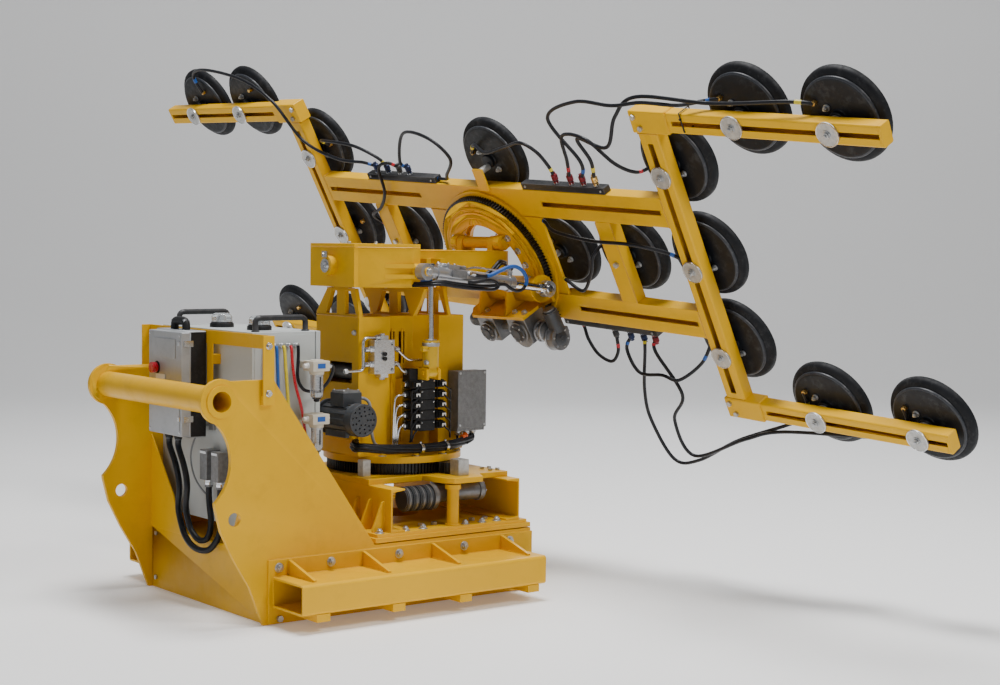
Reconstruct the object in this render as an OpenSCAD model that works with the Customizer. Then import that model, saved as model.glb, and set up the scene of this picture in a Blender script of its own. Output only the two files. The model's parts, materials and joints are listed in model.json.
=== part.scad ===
// Glass manipulator: a vacuum frame on a tilting, turning head, carried by a
// slewing tower on a base that slides onto lifting forks.
// X points forward to the vacuum frame, Y to the left, Z up; z = 0 is the
// underside of the base. Lengths are in millimetres.

/* [Base] */
// Rear end of the base box
base_x0 = -750; // [-780:5:-700]
// Front end of the base box
base_x1 = 573; // [560:1:620]
// Half of the distance over the side plates
half_w = 500; // [480:5:520]
// Height of the base box
base_h = 270; // [250:5:270]
// Thickness of the side plates
side_t = 20; // [12:1:25]
// Width of a fork pocket over its walls
pocket_w = 227; // [200:1:240]
// Height of a fork pocket over its walls
pocket_h = 120; // [100:1:130]
// Outer diameter of the cross tube at the rear
tube_d = 108; // [90:1:120]
// Bore of the cross tube
tube_bore = 80; // [60:1:90]

/* [Slewing] */
// Distance of the slewing axis in front of the origin
slew_x = 180; // [170:1:190]
// Angle the tower stands slewed at rest
slew_rest = 2.17; // [0:0.01:5]
// Teeth of the slewing gear
slew_teeth = 114; // [114:1:114]
// Teeth of the slewing pinion
pinion_teeth = 15; // [15:1:15]
// Module of the gears
gear_m = 5; // [5:1:5]

/* [Head] */
// Distance of the vacuum frame's face in front of the origin
head_x = 787.4; // [780:0.1:800]
// Height of the vacuum frame's centre
head_z = 1466.5; // [1460:0.5:1475]
// Angle the vacuum frame leans back at rest
tilt_rest = 30.4; // [25:0.1:35]
// Angle the vacuum frame is turned at rest
turn_rest = 3.86; // [-5:0.01:5]
// Teeth of the turning gear
turn_teeth = 132; // [132:1:132]
// Height of the turning axis over the middle of the vacuum frame
ring_v = -28; // [-40:1:0]

/* [Vacuum frame] */
// Distance of each upright from the centre
upright_y = 1210; // [1180:5:1260]
// Width of the uprights
upright_w = 105; // [95:1:120]
// Height of the cross beams
beam_w = 138; // [120:1:145]
// Depth of the cross beams and end arms
member_d = 58; // [50:1:62]
// Wall thickness of the slotted members
wall = 5; // [4:0.5:6]
// Height of the upper cross beam over the centre
beam_up = 277; // [260:1:285]
// Depth of the lower cross beam under the centre
beam_dn = 262; // [250:1:280]
// Height of the upper end arms over the centre
arm_up = 700; // [680:1:710]
// Depth of the lower end arms under the centre
arm_dn = 680; // [670:1:700]
// Droop of the upper end arms
droop = 1.93; // [0:0.01:3]
// Reach of the end arms from the centre
arm_len = 2355; // [2250:1:2400]
// Diameter of a suction pad over its rubber lip
pad_d = 390; // [360:1:400]

/* [Hidden] */
// routes of the two control cables, from the receiver's glands to the hoods
cable_inner = [[-790, 165, 672], [-790, 163, 640], [-797, 98, 563], [-797, 74, 490], [-797, 84, 395], [-797, 57, 329], [-790, -5, 287], [-775, -38, 272], [-752, -35, 318], [-739, -9, 390], [-738, -4, 450], [-738, -4, 490]];
cable_outer = [[-790, 245, 672], [-791, 240, 640], [-800, 169, 568], [-800, 138, 483], [-802, 142, 387], [-806, 95, 308], [-812, 3, 256], [-792, -85, 240], [-765, -124, 288], [-740, -106, 360], [-738, -100, 440], [-738, -100, 490]];
$fn = 128;
yel = [0.86, 0.62, 0.02];
blk = [0.08, 0.08, 0.09];
zinc = [0.72, 0.73, 0.75];
gry = [0.84, 0.86, 0.86];

// frames of reference
module up() translate([slew_x, 0, 0]) rotate([0, 0, slew_rest]) translate([-slew_x, 0, 0]) children();
module head() up() translate([head_x, 0, head_z]) rotate([0, -tilt_rest, 0]) children();
module frm() head() rotate([turn_rest, 0, 0]) children();

// plates and bars
module xz(y0, y1) translate([0, y1, 0]) rotate([90, 0, 0]) linear_extrude(y1 - y0) children();
module yz(x0, x1) translate([x0, 0, 0]) rotate([90, 0, 90]) linear_extrude(x1 - x0) children();
module xy(z0, z1) translate([0, 0, z0]) linear_extrude(z1 - z0) children();
module bx(x0, x1, y0, y1, z0, z1) translate([x0, y0, z0]) cube([x1 - x0, y1 - y0, z1 - z0]);
module cx(x0, x1, r, y = 0, z = 0) translate([x0, y, z]) rotate([0, 90, 0]) cylinder(h = x1 - x0, r = r);
module cy(y0, y1, r, x = 0, z = 0) translate([x, y1, z]) rotate([90, 0, 0]) cylinder(h = y1 - y0, r = r);
module cz(z0, z1, r, x = 0, y = 0) translate([x, y, z0]) cylinder(h = z1 - z0, r = r);
module hexx(x0, x1, af, y, z) translate([x0, y, z]) rotate([0, 90, 0]) cylinder(h = x1 - x0, d = af / cos(30), $fn = 6);
module hexy(y0, y1, af, x, z) translate([x, y1, z]) rotate([90, 0, 0]) cylinder(h = y1 - y0, d = af / cos(30), $fn = 6);
module hexz(z0, z1, af, x, y) translate([x, y, z0]) cylinder(h = z1 - z0, d = af / cos(30), $fn = 6);
module mirr() { children(); mirror([0, 1, 0]) children(); }

// swept tubes through hand-placed points
function cr(a, b, c, d, t) = 0.5 * ((2 * b) + (c - a) * t + (2 * a - 5 * b + 4 * c - d) * t * t + (3 * b - a - 3 * c + d) * t * t * t);
function path(c, k) = concat([for (i = [0:len(c) - 2]) for (j = [0:k - 1])
    cr(c[max(i - 1, 0)], c[i], c[i + 1], c[min(i + 2, len(c) - 1)], j / k)], [c[len(c) - 1]]);
function unit(v) = v / norm(v);
function tang(p, i) = unit(p[min(i + 1, len(p) - 1)] - p[max(i - 1, 0)]);
function first_n(t) = unit(cross(t, abs(t[2]) < 0.8 ? [0, 0, 1] : [1, 0, 0]));
function frames(p, i = 0, n = undef) = i >= len(p) ? [] :
    let (t = tang(p, i), m = n == undef ? first_n(t) : unit(n - t * (n * t)))
    concat([[m, cross(t, m)]], frames(p, i + 1, m));
module tube(c, r, s = 6, k = 3) {
  p = path(c, k); f = frames(p); L = len(p);
  polyhedron(points = [for (i = [0:L - 1]) for (j = [0:s - 1])
      p[i] + r * (cos(360 * j / s) * f[i][0] + sin(360 * j / s) * f[i][1])],
    faces = concat([[for (j = [0:s - 1]) j]],
      [for (i = [0:L - 2]) for (j = [0:s - 1]) [i * s + j, (i + 1) * s + j, (i + 1) * s + (j + 1) % s]],
      [for (i = [0:L - 2]) for (j = [0:s - 1]) [i * s + j, (i + 1) * s + (j + 1) % s, i * s + (j + 1) % s]],
      [[for (j = [s - 1:-1:0]) (L - 1) * s + j]]));
}

// flat gear outline: n teeth of module m, tips at the pitch radius + a
module gear2d(n, m, a, d, ph = 0) {
  rp = n * m / 2; q = 360 / n;
  polygon([for (i = [0:n - 1]) let (b = i * q + ph) each [
    [(rp - d) * cos(b - q * 0.27), (rp - d) * sin(b - q * 0.27)],
    [(rp + a) * cos(b - q * 0.11), (rp + a) * sin(b - q * 0.11)],
    [(rp + a) * cos(b + q * 0.11), (rp + a) * sin(b + q * 0.11)],
    [(rp - d) * cos(b + q * 0.27), (rp - d) * sin(b + q * 0.27)]]]);
}

// ---------- base ----------
module base_box() color(yel) {
  difference() {
    bx(base_x0 + 12, base_x1, -half_w + side_t, half_w - side_t, 0, base_h);
    bx(base_x0 + 20, base_x1 - 8, -half_w + side_t + 8, half_w - side_t - 8, 8, base_h - 8);
    bx(-600, -200, -300, 300, -1, 9);
    bx(60, 420, -300, 300, -1, 9);
  }
}
module pocket() {
  y1 = -half_w - 12; y0 = y1 - pocket_w; z0 = 71; z1 = 71 + pocket_h;
  // flange against the base
  bx(-749, base_x1, y1, -half_w, 5, 257);
  // rectangular sleeve with rounded outer corners
  difference() {
    union() {
      bx(-732, 468, y0 + 14, y1, z0, z1);
      bx(-732, 468, y0, y1, z0 + 14, z1 - 14);
      cx(-732, 468, 14, y0 + 14, z0 + 14);
      cx(-732, 468, 14, y0 + 14, z1 - 14);
    }
    bx(-740, 480, y0 + 9, y1 - 9, z0 + 9, z1 - 9);
  }
  // sloping gussets on top, foot plates below
  for (x = [-660, -310, 35, 400]) xz2(x, 14) polygon([[y1, z1], [y1, 252], [y0 + 40, z1 + 8], [y0 + 40, z1]]);
  for (x = [-664, -310, 22, 377]) bx(x, x + 60, y0 + 6, y1 - 30, 40, z0);
}
module xz2(x, t) yz(x, x + t) children();
module fork_pocket_near() color(yel) pocket();
module fork_pocket_far() color(yel) mirror([0, 1, 0]) pocket();
module side() {
  difference() {
    xz(-half_w, -half_w + side_t) {
      difference() {
        polygon([[base_x1, 0], [-766, 0], [-827, 155], [-898, 272], [-955, 386], [-980, 484],
          [-1020, 850], [-955, 968], [-723, 968], [-714, 952], [-414, 520], [-243, base_h], [base_x1, base_h]]);
        translate([-1122, 655]) circle(r = 210);
      }
      translate([-955, 890]) circle(r = 88);
    }
    cy(-half_w - 1, -half_w + side_t + 1, tube_d / 2, -955, 890);
    cy(-half_w - 1, -half_w + side_t + 1, 27, -896, 430);
  }
}
module side_plate_near() color(yel) side();
module side_plate_far() color(yel) mirror([0, 1, 0]) side();
module cross_tube() color(yel) difference() {
  union() {
    cy(-half_w - 6, half_w + 6, tube_d / 2, -955, 890);
    cy(-half_w - 6, -half_w, 64, -955, 890);
    cy(half_w, half_w + 6, 64, -955, 890);
  }
  cy(-half_w - 7, half_w + 7, tube_bore / 2, -955, 890);
}
module rear_cross_plate() color(yel) {
  bx(base_x0, base_x0 + 12, -half_w + side_t, half_w - side_t, 0, 262);
  bx(base_x0 - 6, base_x0, -half_w + side_t, half_w - side_t, 262, 274);
  // corner gussets up to the side plates
  mirr() yz(base_x0 - 6, base_x0) polygon([[half_w - side_t, 274], [half_w - side_t, 668], [277, 423], [206, 274]]);
}
module adapter_plates() color(yel) {
  difference() {
    union() {
      bx(-210, 545, -470, 470, base_h, 275);
      bx(-237, 573, -498, 498, 275, 293);
      bx(-222, 560, -488, 488, 293, 307);
    }
    cz(base_h - 1, 308, 120, slew_x, 0);
  }
  // capped stub beside the bearing
  cz(307, 466, 26, 190, -447);
  cz(462, 482, 34, 190, -447);
  cz(307, 315, 34, 190, -447);
}
module channel(dir) xz(-480, 480) {
  polygon([[0, 0], [70 * dir, 0], [70 * dir, 7], [8 * dir, 14], [8 * dir, 166], [70 * dir, 173], [70 * dir, 180], [0, 180]]);
}
module support_channels() color(yel) {
  translate([-150, 0, 307]) channel(1);
  translate([525, 0, 307]) channel(-1);
  for (y = [-425, -330, -235, 235, 330, 425]) xz3(y) polygon([[-150, 307], [-208, 307], [-208, 318], [-162, 430], [-150, 434]]);
}
module xz3(y) xz(y - 6, y + 6) children();
module ring_mount_plate() color(yel) {
  difference() {
    xy(487, 510) union() {
      polygon([[-150, -310], [125, -310], [145, -440], [175, -480], [325, -480], [370, -395], [525, -395],
        [525, 310], [-150, 310]]);
    }
    cz(486, 511, 150, slew_x, 0);
    translate([slew_x, 0, 0]) rotate([0, 0, slew_az]) cz(486, 511, 30, (slew_teeth + pinion_teeth) * gear_m / 2, 0);
  }
}
module slew_inner_race() color(blk) translate([slew_x, 0, 0]) difference() {
  union() { cz(510, 560, 236); }
  cz(509, 561, 190);
  for (a = [7.5:15:359]) rotate([0, 0, a]) cz(509, 561, 7, 213, 0);
}
slew_az = -75;
pin_x = slew_x + (slew_teeth + pinion_teeth) * gear_m / 2 * cos(slew_az);
pin_y = (slew_teeth + pinion_teeth) * gear_m / 2 * sin(slew_az);
module slew_drive() color([0.35, 0.34, 0.33]) difference() {
  union() {
    cz(467, 487, 78, pin_x, pin_y);
    cz(395, 467, 60, pin_x, pin_y);
    cx(pin_x - 130, pin_x + 115, 40, pin_y - 62, 437);
    cx(pin_x + 100, pin_x + 122, 46, pin_y - 62, 437);
    cx(pin_x - 150, pin_x - 128, 56, pin_y - 62, 425);
    cx(pin_x - 290, pin_x - 150, 46, pin_y - 62, 425);
    for (i = [0:3]) cx(pin_x - 178 - i * 36, pin_x - 160 - i * 36, 52, pin_y - 62, 425);
  }
  cx(pin_x + 40, pin_x + 123, 27, pin_y - 62, 437);
  cz(394, 488, 16, pin_x, pin_y);
}
module slew_pinion() color([0.3, 0.3, 0.31]) translate([pin_x, pin_y, 0]) {
  xy(515, 559) gear2d(pinion_teeth, gear_m, 4, 5.5, slew_az + 192);
  cz(396, 515, 15.9);
}
module stop_blocks() color([0.6, 0.6, 0.6]) {
  bx(-120, -80, -220, -180, 510, 580);
  bx(235, 290, -425, -362, 510, 580);
}
module base_bolts() color(zinc) {
  for (y = [-1, 1]) {
    for (x = [-703, -462, -131, 203, 448]) hexb(x, y * 512, 225, y);
    hexb(-702, y * 512, 23, y);
    for (x = [-190, -60, 30, 250, 340, 420]) { hexz(307, 320, 24, x, y * 455); cz(320, 326, 8, x, y * 455); }
    for (z = [45, 237]) { hexx(base_x0 - 9, base_x0, 19, y * 440, z); }
  }
  for (x = [60, 130, 250, 330, 400], y = [-395, 395]) if (x != 250) hexz(307, 320, 24, x, y);
  for (x = [470, 510], y = [-340, -280, 280, 340]) hexz(510, 520, 19, x, y);
}
module hexb(x, y, z, s) { if (s < 0) hexy(y - 14, y, 24, x, z); else hexy(y, y + 14, 24, x, z); }

// ---------- control cabinet ----------
module cabinet_bracket() color(yel) {
  xz(-520, -512) polygon([[-782, 870], [-732, 870], [-732, 1140], [-782, 1140]]);
  xz(512, 520) polygon([[-782, 870], [-732, 870], [-732, 1140], [-782, 1140]]);
  bx(-782, -732, -512, -500, 870, 905); bx(-782, -732, 500, 512, 870, 905);
  bx(-745, -737, -512, 512, 1085, 1140);
  bx(-745, -737, -40, 2, 860, 1085);
  bx(-745, -737, 312, 357, 690, 1085);
  bx(-737, -700, -35, 2, 870, 900); bx(-737, -700, -35, 2, 1000, 1040);
  bx(-737, -700, 315, 350, 700, 740); bx(-737, -700, 315, 350, 1000, 1040);
  // feet the cabinet stands on
  for (y = [-270, 430]) { bx(-680, -420, y, y + 30, 270, 340); }
}
module cabinet() color(gry) {
  difference() {
    bx(-700, -405, -290, 479.5, 340, 1140);
    bx(-696, -404, -286, 476, 344, 1136);
  }
  // mounting plate and apparatus inside
  bx(-690, -686, -250, 440, 380, 1100);
  for (b = [[-600, -200, 0, 800, 1000], [-560, 60, 380, 800, 980], [-520, -180, 380, 420, 640]]) difference() {
    bx(-686, b[0], b[1], b[2], b[3], b[4]);
    bx(-683, b[0] - 3, b[1] + 3, b[2] - 3, b[3] + 3, b[4] + 1);
  }
}
module cabinet_cover() color(gry) {
  difference() {
    bx(-402, -380, -291, 479.5, 339, 1141);
    bx(-403, -384, -286, 476, 344, 1136);
  }
  for (y = [-270, 95, 460], z = [370, 740, 1110]) hexx(-380, -375, 12, y, z);
}
module cabinet_handles() color(blk) for (y = [-245, 405]) {
  for (x = [-660, -425]) { cz(1140, 1178, 12, x, y); cz(1140, 1146, 17, x, y); }
  cx(-642, -443, 12, y, 1196);
  translate([-642, y, 1178]) rotate([90, 0, 0]) rotate([0, 0, 90]) rotate_extrude(angle = 90) translate([18, 0]) circle(r = 12);
  translate([-443, y, 1178]) rotate([90, 0, 0]) rotate_extrude(angle = 90) translate([18, 0]) circle(r = 12);
}
module beacons() color([0.85, 0.87, 0.9]) for (p = [[-580, 175], [-560, -105]]) {
  cz(1140, 1166, 51, p[0], p[1]);
  cz(1166, 1196, 44, p[0], p[1]);
  cz(1196, 1200, 34, p[0], p[1]);
}
module receiver() color([0.7, 0.72, 0.74]) {
  difference() {
    union() {
      bx(-858, -818, 10, 300, 700, 1130);
      bx(-818, -746, 5, 305, 695, 1135);
    }
    cx(-870, -840, 15.3, 225, 975);
  }
  for (y = [100, 200]) bx(-800, -770, y, y + 14, 1135, 1165);
  bx(-800, -770, 100, 214, 1165, 1178);
  for (y = [165, 245]) cz(672, 695, 14, -790, y);
}
module stop_button() color([0.8, 0.05, 0.05]) { cx(-886, -864, 22, 225, 975); cx(-864, -846, 15, 225, 975); }
module vacuum_filters() color([0.75, 0.75, 0.72]) for (z = [985, 770]) {
  bx(-500, -420, -430, -350, z, z + 45);
  cz(z - 110, z, 27, -460, -392);
  cz(z - 128, z - 110, 14, -460, -392);
  bx(-480, -440, -350, -290, z + 8, z + 36);
  cx(-420, -400, 10, -392, z + 22); cx(-525, -500, 9, -392, z + 22);
}
module connector_hoods() color([0.45, 0.46, 0.47]) for (y = [-4, -100]) {
  bx(-765, -700, y - 30, y + 30, 520, 645);
  cz(490, 520, 17, -738, y);
}
module control_cable_inner() color(blk) tube(cable_inner, 13, 8, 2);
module control_cable_outer() color(blk) tube(cable_outer, 13, 8, 2);
module cabinet_hoses() color([0.5, 0.02, 0.08]) {
  for (i = [0:4]) { cy(-312, -290, 11, -640 + 34 * i, 1085); }
  tube([[-504, -320, 1085], [-506, -325, 1040], [-515, -335, 960], [-500, -345, 915], [-470, -350, 900], [-420, -354, 905], [-388, -368, 940], [-376, -384, 985], [-386, -391, 1005], [-399.5, -392, 1007]], 7, 6, 2);
  tube([[-538, -320, 1085], [-538, -325, 1030], [-530, -335, 920], [-505, -350, 830], [-480, -345, 700], [-470, -340, 560]], 6, 6, 2);
  tube([[-572, -320, 1085], [-570, -325, 1000], [-555, -330, 850], [-540, -330, 700], [-530, -330, 560]], 7, 6, 2);
  tube([[-606, -320, 1085], [-608, -325, 1000], [-600, -330, 850], [-590, -330, 700], [-585, -330, 560]], 7, 6, 2);
  tube([[-640, -320, 1085], [-640, -325, 1000], [-640, -330, 850], [-640, -330, 700], [-640, -330, 560]], 7, 6, 2);
}

// ---------- turntable and tower ----------
module slew_gear_ring() color([0.15, 0.15, 0.16]) up() translate([slew_x, 0, 0]) difference() {
  xy(513, 561) gear2d(slew_teeth, gear_m, 4, 5.5, slew_az - slew_rest);
  cz(512, 562, 236.4, $fn = 256);
}
module turntable_plate() color(yel) up() translate([slew_x, 0, 0]) {
  difference() { union() { cz(561, 590, 305); } cz(560, 591, 110); }
  for (a = [45:30:315]) rotate([0, 0, a]) hexz(590, 602, 24, 280, 0);
}
// the axis the boom rocks about
roll_y = -26;
module tower_plan() difference() {
  polygon([[-120, -160], [45, -160], [45, -130], [193, -130], [193, -90], [320, -90], [320, -150], [459, -150],
    [459, 150], [320, 150], [320, 90], [193, 90], [193, 130], [45, 130], [45, 160], [-120, 160]]);
  polygon([[-108, -148], [33, -148], [33, -118], [181, -118], [181, -78], [332, -78], [332, -138], [447, -138],
    [447, 138], [332, 138], [332, 78], [181, 78], [181, 118], [33, 118], [33, 148], [-108, 148]]);
}
module win(b, h0, h1) for (s = [-1, 1]) polygon([[s * 32, h0], [s * b, h0], [s * (b - 44), h1], [s * 32, h1]]);
module tower() color(yel) up() {
  difference() {
    xy(590, 1188) tower_plan();
    bx(-70, 0, -170, -140, 1040, 1060);
    bx(60, 92, -135, -110, 980, 1120); bx(115, 147, -135, -110, 980, 1120);
    bx(-121, -107, -110, 60, 900, 990);
  }
  // lid of the column
  difference() {
    xy(1176, 1188) polygon([[-110, -150], [35, -150], [35, -120], [183, -120], [183, -80], [330, -80], [330, -140], [449, -140],
      [449, 140], [330, 140], [330, 80], [183, 80], [183, 120], [35, 120], [35, 150], [-110, 150]]);
    cz(1175, 1189, 45, 262, 0);
  }
  difference() {
    union() {
      yz(-120, -100) { polygon([[-160, 1188], [160, 1188], [160, 1203], [roll_y + 104, 1308], [roll_y - 104, 1308], [-160, 1203]]); translate([roll_y, 0]) { polygon([[-58, 1300], [58, 1300], [58, 1405], [-58, 1405]]); translate([0, 1405]) circle(r = 58); } }
      yz(160, 180) translate([roll_y, 0]) { polygon([[-146, 1188], [172, 1188], [186, 1240], [225, 1308], [-225, 1308], [-186, 1240]]); polygon([[-52, 1300], [52, 1300], [52, 1405], [-52, 1405]]); translate([0, 1405]) circle(r = 52); }
      yz(370, 390) polygon([[-150, 1188], [150, 1188], [roll_y + 82, 1308], [roll_y - 82, 1308]]);
    }
    yz(-121, -99) translate([roll_y, 0]) win(112, 1198, 1296);
    yz(159, 181) translate([roll_y, 0]) win(120, 1198, 1290);
    yz(369, 391) translate([roll_y, 0]) win(96, 1198, 1292);
    cx(-121, 181, 30.05, roll_y, 1405);
  }
  // ribs up the web, lug for the roll cylinder
  for (y = [-136, 130]) for (x = [72, 126]) bx(x, x + 8, y, y + 6, 640, 1130);
  difference() {
    union() { bx(150, 166, -285, -130, 915, 962); bx(214, 230, -285, -90, 915, 962); bx(166, 214, -150, -130, 900, 962);
      cx(150, 166, 24, -260, 945); cx(214, 230, 24, -260, 945); }
  }
  cx(144, 236, 10, -260, 945);
  bx(100, 290, -175, -130, 690, 915);
  bx(-175, -120, -150, 100, 665, 685);
}
module electric_motor() color([0.16, 0.17, 0.19]) up() difference() {
  union() {
    cy(-265, -60, 62, -196, 762);
    cy(-305, -255, 69, -196, 762);
    cy(-62, -48, 75, -196, 762);
    for (a = [12:24:359]) translate([-196, 0, 762]) rotate([0, a, 0]) bx(58, 67, -258, -70, -2, 2);
    bx(-243, -149, -225, -130, 815, 872);
    for (x = [-240, -170]) bx(x, x + 18, -240, -90, 685, 720);
  }
  cy(-300, -266, 64, -196, 762);
  for (r = [22, 38, 54]) for (a = [0:(r < 30 ? 60 : r < 45 ? 40 : 28):359]) cy(-306, -299, 4, -196 + r * cos(a), 762 + r * sin(a));
}
module motor_fan() color([0.1, 0.1, 0.1]) up() {
  translate([-196, 0, 762]) { cy(-294, -270, 14); for (a = [0:60:359]) rotate([0, a, 0]) bx(12, 56, -292, -272, -2, 2); }
}
module pump_tank() color([0.12, 0.12, 0.13]) up() {
  bx(-95, 25, -140, 140, 640, 840);
  cy(-48, 60, 45, -196, 762);
  cy(-100, 100, 34, -70, 945);
}
module manifold_block() color([0.78, 0.79, 0.8]) up() {
  difference() {
    bx(-70, 35, -208, -160, 945, 1090);
    for (z = [965, 1070]) cy(-209, -159, 5, 22, z);
  }
  bx(-35, 5, -204, -164, 1090, 1108); bx(-35, 5, -204, -164, 928, 945);
  for (z = [985, 1050]) { cx(-105, -70, 11, -184, z); cx(35, 62, 10, -184, z); }
}
module valve_bank() color([0.09, 0.09, 0.1]) up() {
  bx(150, 235, -235, -175, 690, 914);
  for (i = [0:4]) { z = 715 + 45 * i;
    cx(96, 150, 17, -205, z); cx(235, 292, 17, -205, z);
    bx(104, 142, -236, -190, z - 17, z + 17); bx(246, 284, -236, -190, z - 17, z + 17);
  }
  bx(104, 149, -225, -175, 905, 962);
}
module hydraulic_pipes() color([0.75, 0.76, 0.78]) up() {
  tube([[-36, -184, 1100], [-60, -184, 1100], [-95, -184, 1100], [-112, -184, 1080], [-112, -184, 1000], [-118, -184, 965], [-150, -184, 960], [-210, -184, 960]], 6, 6, 2);
  tube([[62, -184, 1050], [90, -196, 1020], [120, -205, 1000], [190, -210, 998], [235, -212, 990], [240, -212, 955]], 6, 6, 2);
  tube([[62, -184, 985], [74, -188, 974], [86, -195, 955], [104, -198, 945]], 6, 6, 2);
  for (i = [0:3]) tube([[96, -205, 715 + 45 * i], [80, -205, 715 + 45 * i], [66 - 7 * i, -200, 695 + 45 * i], [62 - 7 * i, -195, 640 + 20 * i], [62 - 7 * i, -190, 604]], 5, 6, 2);
}
module electrical_box() color([0.38, 0.38, 0.39]) up() {
  bx(368, 522, -228, -158, 675, 942);
  bx(380, 450, -158, -150, 720, 740); bx(380, 450, -158, -150, 880, 900);
  for (x = [395, 440, 480]) cz(655, 675, 12, x, -193);
}
module hose_bundle() color(blk) up() {
  tube([[-150, -255, 640], [-60, -272, 630], [60, -278, 624], [180, -276, 622], [300, -262, 624], [400, -225, 630], [470, -195, 640], [480, -190, 655]], 19, 8, 2);
}

// ---------- roll cylinder ----------
module roll_cylinder_barrel() color([0.8, 0.62, 0.02]) up() {
  difference() {
    union() { cx(167, 213, 22, -260, 945); bx(168, 212, -278, -242, 945, 975); cz(972, 1085, 35, 190, -260); cx(130, 160, 12, -275, 1050); }
    cz(984, 1073, 24, 190, -260);
    cz(1072, 1086, 12.3, 190, -260);
    cx(166, 214, 10.05, -260, 945);
  }
}
module roll_cylinder_rod() color(zinc) up() {
  cz(1020, 1036, 23.7, 190, -260);
  cz(1036, 1376, 12, 190, -260);
  difference() { cx(168, 212, 24, -260, 1396); cx(167, 213, 16, -260, 1396); }
}

// ---------- boom ----------
module boom_plan(g) polygon([[-168 + g, -165 + g], [-148, -165 + g], [33, -306 + g * 1.3], [75, -306 + g * 1.3], [75, -215], [75, 215], [75, 306 - g * 1.3], [33, 306 - g * 1.3], [-148, 165 - g], [-168 + g, 165 - g]]);
module beam_plan(g) translate([0, -20]) {
  polygon([[60, -188 + g], [620, -188 + g], [620, 188 - g], [60, 188 - g]]);
  for (s = [-1, 1]) translate([620, s * 88]) circle(r = 100 - g);
  polygon([[610, -88], [720 - g, -88], [720 - g, 88], [610, 88]]);
}
module boom() color(yel) up() {
  difference() {
    union() {
      // rocker: back, flared sides and lid, open below for the bearing lugs
      translate([0, roll_y, 0]) difference() {
        xy(1315, 1500) boom_plan(0);
        xy(1300, 1485) boom_plan(16);
        xy(1300, 1480) polygon([[20, -180], [90, -180], [90, 180], [20, 180]]);
      }
      yz(205, 221) polygon([[-200, 1360], [160, 1360], [160, 1468], [-200, 1468]]);
      // forward beam with rounded corners
      difference() {
        xy(1354, 1473) beam_plan(0);
        xy(1366, 1461) beam_plan(12);
        bx(60, 215, -196, 156, 1350, 1462);
      }
      cx(-200, -168, 42, roll_y, 1405);
      cx(221, 240, 42, roll_y, 1405);
      // lugs of the tilt hinge
      for (y = [-130, 92]) { bx(638, 702, y, y + 38, 1472, 1510); cy(y, y + 38, 32, 670, 1510); }
      // brackets for the tilt cylinders' rear pins
      mirr() {
        for (z = [1354, 1398]) xy(z, z + 18) polygon([[-60, -262], [22, -160], [97, -160], [102, -300], [97, -352], [30, -352]]);
        bx(34, 90, -346, -160, 1354, 1420);
        cy(-352, -338, 34, 62, 1385);
        cy(-404, -338, 15.95, 62, 1385);
        cy(-412, -404, 18.5, 62, 1385);
      }
      // lugs and pin for the roll cylinder's rod eye
      bx(140, 164, -290, -205, 1366, 1440); bx(216, 240, -290, -205, 1366, 1440);
      cx(134, 246, 11.95, -260, 1396);
    }
    cx(-201, 241, 30.05, roll_y, 1405);
    for (y = [-130, 92]) cy(y - 1, y + 39, 20.05, 670, 1510);
  }
}
module roll_pin() color(zinc) up() { cx(-206, 236, 30, roll_y, 1405); cx(-212, -206, 20, roll_y, 1405); bx(-208, -200, roll_y - 18, roll_y + 18, 1440, 1466); }
module boom_hoses() color(blk) up() {
  tube([[-10, -230, 1335], [60, -262, 1338], [150, -318, 1350], [260, -262, 1352], [380, -236, 1342], [470, -232, 1350], [540, -240, 1385], [590, -238, 1425], [640, -215, 1420]], 9, 6, 2);
  tube([[-10, -212, 1325], [60, -206, 1326], [125, -197, 1343], [200, -196, 1344], [330, -214, 1334], [440, -222, 1330], [520, -222, 1338], [600, -200, 1334]], 9, 6, 2);
}
// each tilt cylinder lies between the boom's rear pin and the cross beam's end
tc_x0 = 62; tc_z0 = 1385; tc_x1 = 750; tc_z1 = 1307; tc_y = 380;
tc_a = atan2(tc_z1 - tc_z0, tc_x1 - tc_x0);
tc_l = norm([tc_x1 - tc_x0, tc_z1 - tc_z0]);
module tc() up() translate([tc_x0, 0, tc_z0]) rotate([0, -tc_a, 0]) children();
module tilt_cylinder_barrel() color([0.8, 0.81, 0.83]) tc() mirr() difference() {
  union() {
    cy(-tc_y - 23, -tc_y + 23, 36, 0, 0);
    cx(20, 60, 26, -tc_y, 0);
    cx(55, 470, 32, -tc_y, 0);
    cx(455, 485, 36, -tc_y, 0);
    bx(110, 168, -tc_y - 22, -tc_y + 22, 10, 44);
    cx(72, 110, 9, -tc_y, 38); cx(168, 205, 9, -tc_y, 38);
    cz(30, 46, 9, 470, -tc_y);
  }
  cy(-tc_y - 24, -tc_y + 24, 16.05, 0, 0);
  cx(62, 472, 25, -tc_y, 0);
  cx(471, 486, 18.3, -tc_y, 0);
}
module tilt_cylinder_rod() color(zinc) tc() mirr() {
  cx(tc_l - 430, tc_l - 408, 24.7, -tc_y, 0);
  cx(tc_l - 408, tc_l - 30, 18, -tc_y, 0);
  cx(tc_l - 50, tc_l - 24, 26, -tc_y, 0);
  cy(-tc_y - 22, -tc_y + 22, 36, tc_l, 0);
  cy(-tc_y - 26, -tc_y + 28, 16, tc_l, 0);
}

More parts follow.
